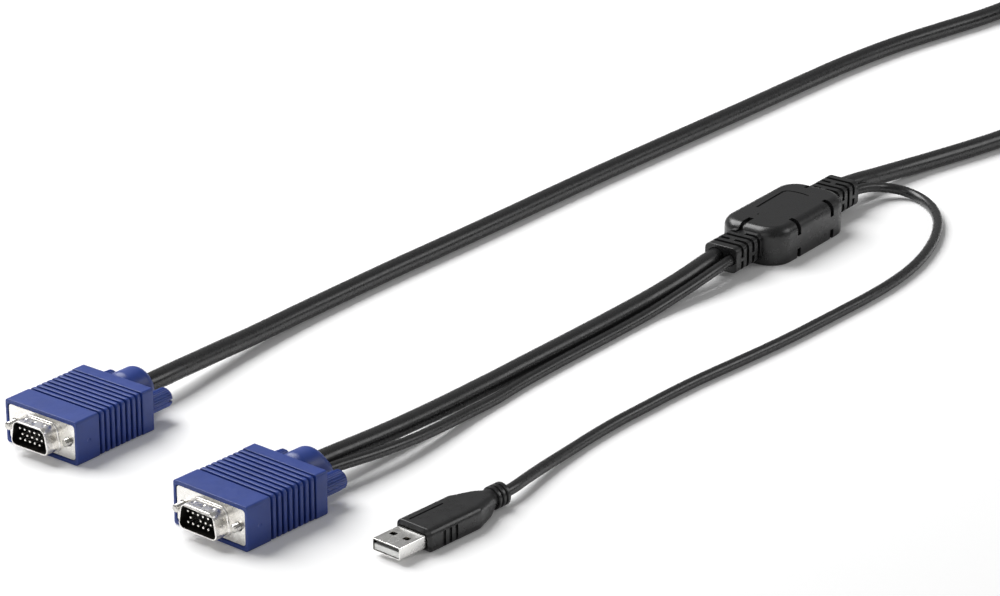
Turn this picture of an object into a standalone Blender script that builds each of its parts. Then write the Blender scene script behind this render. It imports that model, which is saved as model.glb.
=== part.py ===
"""Video and USB switch cable: two 15-pin video plugs, a junction block and a USB plug.

Units are metres, +Z is up.  The cable lies on the floor, z = 0.  +X points from the
console plug's mating face towards its cord, and the origin is on the floor under the
front band of the console plug's hood.
"""
import math

import bmesh
import bpy
from mathutils import Matrix, Vector

for old in list(bpy.data.objects):
    bpy.data.objects.remove(old, do_unlink=True)

# Fits shared by all pieces
GAP = 0.0003                    # between pieces that touch or sit inside one another
SCREW_PLAY = 0.00033            # around a thumbscrew in its holes

# Cords
VIDEO_CORD_DIAMETER = 0.0071
USB_CORD_DIAMETER = 0.0040

# Video plug: spacing of the screws, and what stands outside or inside it
SCREW_SPACING = 0.0250
HOOD_MARGIN = 0.0043            # from a screw's axis to the hood's side
FLANGE_MARGIN = 0.00295         # from a screw's axis to the flange's end
MOULD_MARGIN = 0.0026           # from a screw's axis to the inner mould's side

# Video plug: moulded hood
HOOD_LENGTH = 0.0377
HOOD_WIDTH = SCREW_SPACING + 2 * HOOD_MARGIN
HOOD_HEIGHT = 0.0161
HOOD_CORNER = 0.0010
HOOD_CHAMFER = 0.0004
FRONT_BAND = 0.0110             # plain stretch before the first groove
GROOVE_COUNT = 9
GROOVE_PITCH = 0.00256
GROOVE_WIDTH = 0.0008
GROOVE_DEPTH = 0.0009
BOOT_LENGTH = 0.0130
BOOT_WIDTH = 0.0152             # at its fullest
BOOT_HEIGHT = 0.0166            # at its fullest, from the floor up
BOOT_WAIST = 0.87               # where it leaves the hood, as a share of its fullest
BOOT_RISE = 0.20                # share of its length over which it swells
BOOT_FULL = 0.65                # share of its length at which it begins to narrow
BOOT_MOUTH_RADIUS = 0.0047      # up and down; the holes set its width
BOOT_WALL = 0.0006              # least wall around the cord holes at the mouth

# Video plug: metal shells
FLANGE_WIDTH = SCREW_SPACING + 2 * FLANGE_MARGIN
FLANGE_HEIGHT = 0.0127
FLANGE_CORNER = 0.0012
FLANGE_THICKNESS = 0.0006
SHROUD_WIDTH = 0.0179           # outside, along the wide lower side
SHROUD_HEIGHT = 0.0094
SHROUD_SLANT = math.radians(10)
SHROUD_CORNER = 0.0026
SHROUD_WALL = 0.0005
SHROUD_REACH = 0.0060           # in front of the hood's face
REAR_SKIRT = 0.0048             # length of the rear shell behind its flange

# Video plug: insulator, pins and what is sealed in the hood
PIN_ROWS = 3
PIN_COLUMNS = 5
PIN_PITCH = 0.00229
PIN_ROW_PITCH = 0.00198
PIN_RADIUS = 0.0005
PIN_SIDES = 6
PIN_RECESS = 0.0009             # from the shroud's rim back to the pins' tips
PIN_TAIL = 0.0012               # solder end behind the insulator
INSULATOR_LENGTH = 0.0091
INSULATOR_FRONT = 0.0006        # how far its face stands in front of the hood's face
INNER_MOULD_LENGTH = 0.0158
INNER_MOULD_WIDTH = SCREW_SPACING - 2 * MOULD_MARGIN
INNER_MOULD_HEIGHT = 0.0120
CORE_RADIUS = 0.0026            # the cord's twisted conductors, laid bare
CORE_LOBES = 6
CORE_LOBE_DEPTH = 0.0004
CORE_TWIST = math.radians(220)
FERRULE_WALL = 0.0004
FERRULE_LENGTH = 0.0065
CORD_SEAT = 0.0020              # from the inner mould's rear to the video cord's end

# Thumbscrews
SCREW_RADIUS = 0.00142
SHANK_RADIUS = 0.0011
THREAD_LENGTH = 0.0106
SCREW_REACH = 0.0046            # in front of the hood's face
KNOB_RADIUS = 0.0036
KNOB_FLUTE_DEPTH = 0.0003
KNOB_FLUTES = 12
KNOB_LENGTH = 0.0103
KNOB_STANDOFF = 0.0005          # running gap between hood and knob
KNOB_BORE_DEPTH = 0.0058
KNOB_CHAMFER = 0.0006
SLOT_WIDTH = 0.0012
SLOT_DEPTH = 0.0022

# Junction block
BLOCK_LENGTH = 0.0530
BLOCK_WIDTH = 0.0284
BLOCK_HEIGHT = 0.0150
BLOCK_CORNER = 0.0100
BLOCK_TOP_ROUND = 0.0036
BLOCK_BASE_ROUND = 0.0008
RELIEF_LENGTH = 0.0180
RELIEF_WIDTH = 0.0144
RELIEF_HEIGHT = 0.0102
RELIEF_CORNER = 0.0020
RELIEF_GROOVES = 4
RELIEF_FIRST = 0.0026           # from the block's end to the middle of the first groove
RELIEF_PITCH = 0.0038
RELIEF_GROOVE_WIDTH = 0.0013
RELIEF_GROOVE_SIDE = 0.0004
RELIEF_GROOVE_TOP = 0.0008
BLOCK_THICK_Y = 0.00235         # the video cords' holes, across the block
BLOCK_THIN_Y = -0.00410         # the thin cords' holes, across the block
CORE_LENGTH = 0.0384
CORE_WIDTH = 0.0188
CORE_HEIGHT = 0.0090
CORE_SLOT_WIDTH = 0.0154
CORE_SLOT_HEIGHT = 0.0040
WIRE_COUNT = 5
WIRE_PITCH = 0.0029
WIRE_RADIUS = 0.0006
SPLICE_RADIUS = 0.00125
SPLICE_LENGTH = 0.0080
SPLICE_STAGGER = 0.0060

# USB plug
USB_SHELL_WIDTH = 0.0120
USB_SHELL_HEIGHT = 0.0045
USB_SHELL_REACH = 0.0121        # in front of its overmould
USB_SHELL_HIDDEN = 0.0064       # inside its overmould
USB_SHELL_WALL = 0.00035
USB_SHELL_CORNER = 0.0006
USB_WINDOW_LENGTH = 0.0021
USB_WINDOW_WIDTH = 0.0023
USB_WINDOW_X = 0.0066           # window centre behind the shell's mouth
USB_WINDOW_Y = 0.0029
USB_TONGUE_FRONT = 0.0008
USB_TONGUE_HEIGHT = 0.00185
USB_CONTACT_WIDTH = 0.0010
USB_CONTACT_HEIGHT = 0.0003
USB_CONTACT_FRONT = 0.0022
USB_CONTACT_INNER_Y = 0.0010
USB_CONTACT_OUTER_Y = 0.0035
USB_BODY_WIDTH = 0.0152
USB_BODY_HEIGHT = 0.0078
USB_BODY_CORNER = 0.0015
USB_BODY_LENGTH = 0.0242        # straight stretch of the grip
USB_TAPER_LENGTH = 0.0130
USB_NECK_RADIUS = 0.0033
USB_RING_RADIUS = 0.0039
USB_RING_COUNT = 3
USB_RING_WIDTH = 0.0015
USB_RING_GAP = 0.0006
USB_CORE_LENGTH = 0.0109
USB_CORE_RADIUS = 0.0013
USB_CORE_LOBES = 4
USB_CORE_LOBE_DEPTH = 0.0003
USB_FERRULE_WALL = 0.0005
USB_FERRULE_LENGTH = 0.0047
USB_CORD_SEAT = 0.0013

# Where the plugs and the block lie
CONSOLE_AT = (-0.0050, 0.0, 0.0)
CONSOLE_YAW = 0.0
COMPUTER_AT = (-0.0178, -0.0890, 0.0)
COMPUTER_YAW = math.radians(-2.3)
BLOCK_AT = (0.3130, -0.0846, 0.0)
BLOCK_YAW = math.radians(3.0)
USB_AT = (0.0054, -0.1438, 0.0)
USB_YAW = math.radians(-3.3)
COMPUTER_THICK_Y = 0.0023       # in the computer plug's boot the two cords lie side by side
COMPUTER_THIN_Y = -0.00435

# The coil that puts away the video cord's spare length
COIL_CENTRE = (0.6320, -0.0560)
COIL_RADIUS = 0.0390            # middle of its turns
COIL_TURNS_WIDE = 2
COIL_TURNS_HIGH = 1.86          # the upper turn sinks into the groove below it
COIL_SEGMENTS = 30
TIE_ANGLE = math.radians(-40)
TIE_WIDTH = 0.0100
TIE_THICKNESS = 0.0012

# Names for what follows from the sizes above
VIDEO_CORD_RADIUS = VIDEO_CORD_DIAMETER / 2
USB_CORD_RADIUS = USB_CORD_DIAMETER / 2
VIDEO_HOLE_RADIUS = VIDEO_CORD_RADIUS + GAP
USB_HOLE_RADIUS = USB_CORD_RADIUS + GAP
HOOD_AXIS_Z = HOOD_HEIGHT / 2
BLOCK_AXIS_Z = BLOCK_HEIGHT / 2
USB_AXIS_Z = USB_BODY_HEIGHT / 2
CORNER_STEPS = 3
RING_POINTS = 4 * (CORNER_STEPS + 1)


# Shapes

def material(name, colour, roughness, metallic=0.0):
    """A plain Principled material."""
    made = bpy.data.materials.new(name)
    made.use_nodes = True
    shader = made.node_tree.nodes["Principled BSDF"]
    shader.inputs["Base Color"].default_value = (*colour, 1.0)
    shader.inputs["Roughness"].default_value = roughness
    shader.inputs["Metallic"].default_value = metallic
    return made


BLUE_PVC = material("blue_pvc", (0.045, 0.075, 0.32), 0.45)
BLACK_PVC = material("black_pvc", (0.030, 0.030, 0.032), 0.50)
CORD_PVC = material("cord_pvc", (0.040, 0.040, 0.042), 0.40)
NICKEL = material("nickel_plate", (0.74, 0.72, 0.68), 0.28, 1.0)
STEEL = material("screw_steel", (0.62, 0.62, 0.62), 0.32, 1.0)
PIN_METAL = material("pin_plate", (0.85, 0.83, 0.78), 0.22, 1.0)
BLACK_NYLON = material("black_nylon", (0.020, 0.020, 0.020), 0.55)
WHITE_PLASTIC = material("white_plastic", (0.80, 0.80, 0.78), 0.45)
GOLD = material("gold_plate", (0.83, 0.62, 0.28), 0.25, 1.0)
CLEAR_PE = material("natural_pe", (0.72, 0.72, 0.68), 0.50)
COPPER = material("copper", (0.72, 0.38, 0.22), 0.35, 1.0)
TIE_FABRIC = material("tie_fabric", (0.025, 0.025, 0.027), 0.85)


def finish_object(name, mesh, finish, parent=None):
    """Turn a bmesh into a named object with smooth round sides."""
    bmesh.ops.recalc_face_normals(mesh, faces=mesh.faces[:])
    data = bpy.data.meshes.new(name)
    mesh.to_mesh(data)
    mesh.free()
    data.materials.append(finish)
    data.shade_smooth()
    data.set_sharp_from_angle(angle=math.radians(32))
    made = bpy.data.objects.new(name, data)
    bpy.context.collection.objects.link(made)
    made.parent = parent
    return made


def skin(mesh, rings, closed=False):
    """Skin rings of equally many points; a closed skin joins its last ring to its first."""
    rows = [[mesh.verts.new(point) for point in ring] for ring in rings]
    count = len(rows[0])
    spans = len(rows) if closed else len(rows) - 1
    for index in range(spans):
        row = rows[index]
        following = rows[(index + 1) % len(rows)]
        for here in range(count):
            there = (here + 1) % count
            mesh.faces.new((row[here], row[there], following[there], following[here]))
    if not closed:
        mesh.faces.new(rows[0])
        mesh.faces.new(rows[-1])


def loft(name, rings, finish, parent=None, closed=False):
    """One solid skinned through rings."""
    mesh = bmesh.new()
    skin(mesh, rings, closed)
    return finish_object(name, mesh, finish, parent)


def helper_group(name, bodies, finish, parent=None):
    """Several like solids that are joined to, or cut from, one target."""
    mesh = bmesh.new()
    for rings in bodies:
        skin(mesh, rings)
    return finish_object(name, mesh, finish, parent)


def polygon(corners, radius, steps=CORNER_STEPS):
    """A flat outline whose corners are rounded with arcs of the same number of steps."""
    points = []
    count = len(corners)
    for index in range(count):
        corner = Vector(corners[index])
        before = (Vector(corners[index - 1]) - corner).normalized()
        after = (Vector(corners[(index + 1) % count]) - corner).normalized()
        half = before.angle(after) / 2
        centre = corner + (before + after).normalized() * (radius / math.sin(half))
        start = corner + before * (radius / math.tan(half)) - centre
        sweep = math.pi - 2 * half
        for step in range(steps + 1):
            turn = Matrix.Rotation(sweep * step / steps, 2)
            points.append(centre + turn @ start)
    return points


def rectangle(width, height, radius, steps=CORNER_STEPS):
    """A rounded rectangle, listed anticlockwise from its upper right corner."""
    across, up = width / 2, height / 2
    corners = [(across, up), (-across, up), (-across, -up), (across, -up)]
    return polygon(corners, min(radius, 0.999 * across, 0.999 * up), steps)


def shroud_outline(grow):
    """The plug's D, narrow side up, moved outwards by grow on every side."""
    up = SHROUD_HEIGHT / 2
    lower = SHROUD_WIDTH / 2
    upper = lower - SHROUD_HEIGHT * math.tan(SHROUD_SLANT)
    side = grow / math.cos(SHROUD_SLANT)
    lift = grow * math.tan(SHROUD_SLANT)
    top = up + grow
    corners = [(upper + side - lift, top), (-upper - side + lift, top),
               (-lower - side - lift, -top), (lower + side + lift, -top)]
    return polygon(corners, SHROUD_CORNER + grow)


def circle(radius, count=RING_POINTS):
    """A circle whose points face those of a four-cornered outline."""
    return [Vector((radius * math.cos(angle), radius * math.sin(angle)))
            for angle in (2 * math.pi * (index + 0.5) / count for index in range(count))]


def across_x(x, outline, y=0.0, z=0.0):
    """A flat outline stood up across the X axis."""
    return [(x, y + point[0], z + point[1]) for point in outline]


def level(z, outline):
    """A flat outline laid level at a height."""
    return [(point[0], point[1], z) for point in outline]


def cut(target, cutter):
    """Take a cutter's shape out of a target."""
    join(target, cutter, "DIFFERENCE")


def join(target, other, operation="UNION"):
    """Combine a helper solid with a target, and keep the helper out of the model."""
    step = target.modifiers.new(other.name, "BOOLEAN")
    step.operation = operation
    step.solver = "EXACT"
    step.object = other
    other.hide_render = True
    other.display_type = "WIRE"


def rod_rings(start, end, radius, y, z, count=8):
    """A plain round rod along X."""
    return [across_x(x, circle(radius, count), y, z) for x in (start, end)]


def tube_rings(start, end, inner, outer, count=RING_POINTS):
    """A plain tube along X, as a closed run of rings."""
    return [(start, outer), (end, outer), (end, inner), (start, inner)]


def drill(target, name, start, end, radius, y, z, parent, count=16):
    """Drill a round hole along X."""
    hole = loft(name, rod_rings(start, end, radius, y, z, count), BLACK_NYLON, parent)
    cut(target, hole)


def frame(name, place, yaw):
    """An empty that carries one plug or the block."""
    made = bpy.data.objects.new(name, None)
    bpy.context.collection.objects.link(made)
    made.location = place
    made.rotation_euler = (0.0, 0.0, yaw)
    return made


# Video plug

FLANGE_FRONT = GAP
REAR_FLANGE_FRONT = FLANGE_FRONT + FLANGE_THICKNESS + GAP
FLANGE_SEAT = REAR_FLANGE_FRONT + FLANGE_THICKNESS + GAP
INSULATOR_REAR = INSULATOR_LENGTH - INSULATOR_FRONT
MOULD_FRONT = INSULATOR_REAR + PIN_TAIL + 2 * GAP
MOULD_REAR = MOULD_FRONT + INNER_MOULD_LENGTH
CORD_END = MOULD_REAR + CORD_SEAT
FERRULE_FRONT = MOULD_REAR + 2 * GAP
FERRULE_REAR = FERRULE_FRONT + FERRULE_LENGTH
FERRULE_RADIUS = VIDEO_HOLE_RADIUS + FERRULE_WALL
BOOT_END = HOOD_LENGTH + BOOT_LENGTH


def bulb_radius(share, full, mouth):
    """Radius of a bulb that swells from its waist, stays full and narrows to its mouth."""
    before = max(0.0, 1 - share / BOOT_RISE)
    beyond = max(0.0, share - BOOT_FULL) / (1 - BOOT_FULL)
    swell = 1 - (1 - BOOT_WAIST ** 2) * before ** 2
    return math.sqrt(full ** 2 * swell - (full ** 2 - mouth ** 2) * beyond ** 2)


def boot_rings(mouth_across):
    """The bulb behind the hood that relieves the cord; it rests on the floor."""
    widest = max(BOOT_WIDTH / 2, mouth_across)
    tallest = max(BOOT_HEIGHT / 2, BOOT_MOUTH_RADIUS)
    shares = [0.0, 0.4 * BOOT_RISE, BOOT_RISE]
    shares += [BOOT_FULL + (1 - BOOT_FULL) * step for step in (0.0, 0.3, 0.55, 0.75, 0.9, 1.0)]
    rings = []
    for share in shares:
        across = bulb_radius(share, widest, mouth_across)
        up = bulb_radius(share, tallest, BOOT_MOUTH_RADIUS)
        raised = (tallest - HOOD_AXIS_Z) * (up - BOOT_MOUTH_RADIUS) / (tallest - BOOT_MOUTH_RADIUS)
        outline = [(point.x * across, point.y * up) for point in circle(1.0)]
        rings.append(across_x(HOOD_LENGTH + share * BOOT_LENGTH, outline, 0.0,
                              HOOD_AXIS_Z + raised))
    return rings


def hood_outline(inset):
    return rectangle(HOOD_WIDTH - 2 * inset, HOOD_HEIGHT - 2 * inset, HOOD_CORNER)


def make_hood(name, parent, thick_y, thin_y):
    """Blue moulded hood with its ribs, its boot, the connector's seat and the cord's hole."""
    mouth = max(BOOT_MOUTH_RADIUS, abs(thick_y) + VIDEO_HOLE_RADIUS + BOOT_WALL)
    if thin_y is not None:
        mouth = max(mouth, abs(thin_y) + USB_HOLE_RADIUS + BOOT_WALL)
    rings = [across_x(0.0, hood_outline(HOOD_CHAMFER), 0.0, HOOD_AXIS_Z),
             across_x(HOOD_CHAMFER, hood_outline(0.0), 0.0, HOOD_AXIS_Z)]
    for index in range(GROOVE_COUNT):
        start = FRONT_BAND + index * GROOVE_PITCH
        for x, inset in ((start, 0.0), (start, GROOVE_DEPTH),
                         (start + GROOVE_WIDTH, GROOVE_DEPTH), (start + GROOVE_WIDTH, 0.0)):
            rings.append(across_x(x, hood_outline(inset), 0.0, HOOD_AXIS_Z))
    rings.append(across_x(HOOD_LENGTH - HOOD_CHAMFER, hood_outline(0.0), 0.0, HOOD_AXIS_Z))
    rings.append(across_x(HOOD_LENGTH, hood_outline(HOOD_CHAMFER), 0.0, HOOD_AXIS_Z))
    rings.extend(boot_rings(mouth))
    chamber = FERRULE_RADIUS + GAP
    room = rectangle(INNER_MOULD_WIDTH + 2 * GAP, INNER_MOULD_HEIGHT + 2 * GAP, HOOD_CORNER)
    seat = rectangle(FLANGE_WIDTH + 2 * GAP, FLANGE_HEIGHT + 2 * GAP, FLANGE_CORNER)
    inside = ((BOOT_END, circle(VIDEO_HOLE_RADIUS), thick_y),
              (FERRULE_REAR + GAP, circle(VIDEO_HOLE_RADIUS), thick_y),
              (FERRULE_REAR + GAP, circle(chamber), thick_y),
              (MOULD_REAR + GAP, circle(chamber), thick_y),
              (MOULD_REAR + GAP, room, 0.0),
              (FLANGE_SEAT, room, 0.0),
              (FLANGE_SEAT, seat, 0.0),
              (0.0, seat, 0.0))
    for x, outline, y in inside:
        rings.append(across_x(x, outline, y, HOOD_AXIS_Z))
    hood = loft(name + "_hood", rings, BLUE_PVC, parent, closed=True)
    for side, y in (("left", SCREW_SPACING / 2), ("right", -SCREW_SPACING / 2)):
        drill(hood, name + "_bore_" + side, -GAP, HOOD_LENGTH + GAP,
              SCREW_RADIUS + SCREW_PLAY, y, HOOD_AXIS_Z, parent)
    if thin_y is not None:
        drill(hood, name + "_thin_bore", MOULD_REAR - GAP, BOOT_END + GAP,
              USB_HOLE_RADIUS, thin_y, HOOD_AXIS_Z, parent)


def make_shells(name, parent):
    """Front flange with its drawn D shroud, and the rear shell clinched behind it."""
    plate = rectangle(FLANGE_WIDTH, FLANGE_HEIGHT, FLANGE_CORNER)
    flange_rear = FLANGE_FRONT + FLANGE_THICKNESS
    front = ((-SHROUD_REACH, shroud_outline(-SHROUD_WALL / 2)),
             (-SHROUD_REACH + SHROUD_WALL / 2, shroud_outline(0.0)),
             (FLANGE_FRONT - SHROUD_WALL, shroud_outline(0.0)),
             (FLANGE_FRONT, shroud_outline(SHROUD_WALL)),
             (FLANGE_FRONT, plate),
             (flange_rear, plate),
             (flange_rear, shroud_outline(-SHROUD_WALL)),
             (-SHROUD_REACH, shroud_outline(-SHROUD_WALL)))
    skirt_end = REAR_FLANGE_FRONT + FLANGE_THICKNESS + REAR_SKIRT
    rear = ((REAR_FLANGE_FRONT, plate),
            (REAR_FLANGE_FRONT + FLANGE_THICKNESS, plate),
            (REAR_FLANGE_FRONT + FLANGE_THICKNESS, shroud_outline(0.0)),
            (skirt_end, shroud_outline(0.0)),
            (skirt_end, shroud_outline(-SHROUD_WALL)),
            (REAR_FLANGE_FRONT, shroud_outline(-SHROUD_WALL)))
    for part, sections in (("front_shell", front), ("rear_shell", rear)):
        rings = [across_x(x, outline, 0.0, HOOD_AXIS_Z) for x, outline in sections]
        shell = loft(name + "_" + part, rings, NICKEL, parent, closed=True)
        for side, y in (("left", SCREW_SPACING / 2), ("right", -SCREW_SPACING / 2)):
            drill(shell, name + "_" + part + "_hole_" + side, FLANGE_FRONT - GAP,
                  FLANGE_SEAT, SCREW_RADIUS + SCREW_PLAY, y, HOOD_AXIS_Z, parent)


def pin_places(left_out):
    """Pin centres; the middle row is set half a pitch towards the right screw."""
    places = []
    for row in range(PIN_ROWS):
        shift = -PIN_PITCH / 4 if row == 1 else PIN_PITCH / 4
        for column in range(PIN_COLUMNS):
            if (row, column) in left_out:
                continue
            y = ((PIN_COLUMNS - 1) / 2 - column) * PIN_PITCH + shift
            z = HOOD_AXIS_Z + (1 - row) * PIN_ROW_PITCH
            places.append((y, z))
    return places


def make_pin_insert(name, parent, left_out):
    """Black contact block with the pins pressed through it, as one piece."""
    outline = shroud_outline(-SHROUD_WALL - GAP)
    rings = [across_x(x, outline, 0.0, HOOD_AXIS_Z) for x in (-INSULATOR_FRONT, INSULATOR_REAR)]
    block = loft(name + "_pin_insert", rings, BLACK_NYLON, parent)
    tip = -SHROUD_REACH + PIN_RECESS
    profile = ((tip, PIN_RADIUS * 0.45), (tip + PIN_RADIUS * 0.6, PIN_RADIUS),
               (INSULATOR_REAR + PIN_TAIL, PIN_RADIUS))
    pins = [[across_x(x, circle(radius, PIN_SIDES), y, z) for x, radius in profile]
            for y, z in pin_places(left_out)]
    join(block, helper_group(name + "_pins", pins, PIN_METAL, parent))


def core_rings(start, end, radius, lobes, depth, twist, y, z):
    """Twisted conductors as one rope with a lobe for each outer conductor."""
    rings = []
    for step in range(5):
        share = step / 4
        outline = []
        for index in range(2 * lobes):
            angle = math.pi * index / lobes + twist * share
            reach = radius if index % 2 else radius - depth
            outline.append((reach * math.cos(angle), reach * math.sin(angle)))
        rings.append(across_x(start + (end - start) * share, outline, y, z))
    return rings


def make_sealed_pieces(name, parent, cord_y):
    """Inner mould, the conductors in it and the ferrule crimped on the cord."""
    outer = rectangle(INNER_MOULD_WIDTH, INNER_MOULD_HEIGHT, HOOD_CORNER)
    bore = circle(CORE_RADIUS + GAP)
    rings = [across_x(MOULD_FRONT, outer, 0.0, HOOD_AXIS_Z),
             across_x(MOULD_REAR, outer, 0.0, HOOD_AXIS_Z),
             across_x(MOULD_REAR, bore, cord_y, HOOD_AXIS_Z),
             across_x(MOULD_FRONT, bore, cord_y, HOOD_AXIS_Z)]
    loft(name + "_inner_mould", rings, CLEAR_PE, parent, closed=True)
    core = core_rings(MOULD_FRONT, CORD_END - GAP, CORE_RADIUS, CORE_LOBES, CORE_LOBE_DEPTH,
                      CORE_TWIST, cord_y, HOOD_AXIS_Z)
    loft(name + "_cord_core", core, COPPER, parent)
    sleeve = [across_x(x, circle(radius), cord_y, HOOD_AXIS_Z) for x, radius
              in tube_rings(FERRULE_FRONT, FERRULE_REAR, VIDEO_HOLE_RADIUS, FERRULE_RADIUS)]
    loft(name + "_ferrule", sleeve, NICKEL, parent, closed=True)


def fluted_circle(radius):
    """A knob's outline, with shallow flutes."""
    count = 2 * KNOB_FLUTES
    return [point * (1.0 if index % 2 else 1.0 - KNOB_FLUTE_DEPTH / radius)
            for index, point in enumerate(circle(radius, count))]


def make_thumbscrew(name, parent, side, y):
    """A steel jack screw with its fluted knob; the two turn as one."""
    carrier = frame(name + "_" + side + "_axis", (0.0, y, HOOD_AXIS_Z), 0.0)
    carrier.parent = parent
    knob_front = HOOD_LENGTH + KNOB_STANDOFF
    knob_end = knob_front + KNOB_LENGTH
    screw_end = knob_front + KNOB_BORE_DEPTH - GAP
    thread_end = -SCREW_REACH + THREAD_LENGTH
    profile = ((-SCREW_REACH, SCREW_RADIUS * 0.65), (-SCREW_REACH + SCREW_RADIUS / 3, SCREW_RADIUS),
               (thread_end, SCREW_RADIUS), (thread_end + SCREW_RADIUS / 3, SHANK_RADIUS),
               (knob_front - SCREW_RADIUS / 3, SHANK_RADIUS), (knob_front, SCREW_RADIUS),
               (screw_end, SCREW_RADIUS))
    loft(name + "_" + side + "_screw", [across_x(x, circle(radius, 12)) for x, radius in profile],
         STEEL, carrier)
    bore = circle(SCREW_RADIUS + GAP, 2 * KNOB_FLUTES)
    rings = [across_x(knob_front + KNOB_BORE_DEPTH, bore),
             across_x(knob_front, bore),
             across_x(knob_front, fluted_circle(KNOB_RADIUS - KNOB_CHAMFER)),
             across_x(knob_front + KNOB_CHAMFER, fluted_circle(KNOB_RADIUS)),
             across_x(knob_end - KNOB_CHAMFER, fluted_circle(KNOB_RADIUS)),
             across_x(knob_end, fluted_circle(KNOB_RADIUS - KNOB_CHAMFER))]
    knob = loft(name + "_" + side + "_knob", rings, BLUE_PVC, carrier)
    slot = rectangle(2.2 * KNOB_RADIUS, SLOT_WIDTH, SLOT_WIDTH / 10, 1)
    slot_rings = [across_x(x, slot) for x in (knob_end - SLOT_DEPTH, knob_end + GAP)]
    cut(knob, loft(name + "_" + side + "_slot", slot_rings, BLACK_NYLON, carrier))


def make_video_plug(name, place, yaw, thick_y, thin_y, left_out):
    """A complete 15-pin plug; returns the frame that carries it."""
    plug = frame(name + "_plug", place, yaw)
    make_hood(name, plug, thick_y, thin_y)
    make_shells(name, plug)
    make_pin_insert(name, plug, left_out)
    make_sealed_pieces(name, plug, thick_y)
    make_thumbscrew(name, plug, "left", SCREW_SPACING / 2)
    make_thumbscrew(name, plug, "right", -SCREW_SPACING / 2)
    return plug


# Junction block

CORE_END = CORE_LENGTH / 2
CAVITY_END = CORE_END + GAP
RELIEF_END = BLOCK_LENGTH / 2 + RELIEF_LENGTH


def block_level(z, inset):
    return level(z, rectangle(BLOCK_LENGTH - 2 * inset, BLOCK_WIDTH - 2 * inset,
                              BLOCK_CORNER - inset, 5))


def relief_rings(side):
    """A ribbed strain relief at one end of the block, side +1 or -1."""
    full = rectangle(RELIEF_WIDTH, RELIEF_HEIGHT, RELIEF_CORNER)
    waist = rectangle(RELIEF_WIDTH - 2 * RELIEF_GROOVE_SIDE,
                      RELIEF_HEIGHT - 2 * RELIEF_GROOVE_TOP, RELIEF_CORNER)
    stations = [(CORE_END, full)]
    for index in range(RELIEF_GROOVES):
        start = BLOCK_LENGTH / 2 + RELIEF_FIRST - RELIEF_GROOVE_WIDTH / 2 + index * RELIEF_PITCH
        end = start + RELIEF_GROOVE_WIDTH
        stations += [(start, full), (start, waist), (end, waist), (end, full)]
    stations.append((RELIEF_END, full))
    return [across_x(side * x, outline, 0.0, BLOCK_AXIS_Z) for x, outline in stations]


def make_block():
    """The moulded junction: overmould, inner core, wires and splice sleeves."""
    carrier = frame("junction", BLOCK_AT, BLOCK_YAW)
    rings = [block_level(0.0, BLOCK_BASE_ROUND), block_level(BLOCK_BASE_ROUND, 0.0)]
    for step in range(4):
        angle = math.pi / 2 * step / 3
        rings.append(block_level(BLOCK_HEIGHT - BLOCK_TOP_ROUND * (1 - math.sin(angle)),
                                 BLOCK_TOP_ROUND * (1 - math.cos(angle))))
    block = loft("junction_overmould", rings, BLACK_PVC, carrier)
    for side, word in ((-1, "rear"), (1, "front")):
        relief = loft("relief_" + word, relief_rings(side), BLACK_PVC, carrier)
        join(block, relief)
    cavity = rectangle(CORE_WIDTH + 2 * GAP, CORE_HEIGHT + 2 * GAP, GAP, 1)
    room = [across_x(x, cavity, 0.0, BLOCK_AXIS_Z) for x in (-CAVITY_END, CAVITY_END)]
    cut(block, loft("junction_room", room, BLACK_PVC, carrier))
    for side in (-1, 1):
        inner, outer = side * (CAVITY_END - GAP), side * (RELIEF_END + GAP)
        drill(block, "thick_hole", inner, outer, VIDEO_HOLE_RADIUS, BLOCK_THICK_Y,
              BLOCK_AXIS_Z, carrier)
        drill(block, "thin_hole", inner, outer, USB_HOLE_RADIUS, BLOCK_THIN_Y,
              BLOCK_AXIS_Z, carrier)
    outer = rectangle(CORE_WIDTH, CORE_HEIGHT, GAP)
    slot = rectangle(CORE_SLOT_WIDTH, CORE_SLOT_HEIGHT, GAP)
    core = [(-CORE_END, outer), (CORE_END, outer), (CORE_END, slot), (-CORE_END, slot)]
    loft("junction_inner_mould", [across_x(x, ring, 0.0, BLOCK_AXIS_Z) for x, ring in core],
         CLEAR_PE, carrier, closed=True)
    for index in range(WIRE_COUNT):
        number = str(index + 1)
        y = (index - (WIRE_COUNT - 1) / 2) * WIRE_PITCH
        loft("junction_wire_" + number,
             rod_rings(-CORE_END, CORE_END, WIRE_RADIUS, y, BLOCK_AXIS_Z, 6), COPPER, carrier)
        centre = SPLICE_STAGGER if index % 2 else -SPLICE_STAGGER
        sleeve = tube_rings(centre - SPLICE_LENGTH / 2, centre + SPLICE_LENGTH / 2,
                            WIRE_RADIUS + GAP, SPLICE_RADIUS)
        loft("junction_splice_" + number,
             [across_x(x, circle(radius, 8), y, BLOCK_AXIS_Z) for x, radius in sleeve],
             NICKEL, carrier, closed=True)


# USB plug

BODY_FRONT = USB_SHELL_REACH + GAP
SHELL_REAR = USB_SHELL_REACH + USB_SHELL_HIDDEN
TAPER_START = BODY_FRONT + USB_BODY_LENGTH
TAPER_END = TAPER_START + USB_TAPER_LENGTH
RINGS_START = TAPER_END + USB_RING_GAP
USB_END = RINGS_START + USB_RING_COUNT * USB_RING_WIDTH + (USB_RING_COUNT - 1) * USB_RING_GAP
USB_CORE_FRONT = SHELL_REAR + GAP
USB_CORE_REAR = USB_CORE_FRONT + USB_CORE_LENGTH
USB_CORD_END = USB_CORE_REAR + USB_CORD_SEAT
USB_FERRULE_FRONT = USB_CORE_REAR + 2 * GAP
USB_FERRULE_REAR = USB_FERRULE_FRONT + USB_FERRULE_LENGTH
USB_FERRULE_RADIUS = USB_HOLE_RADIUS + USB_FERRULE_WALL


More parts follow.
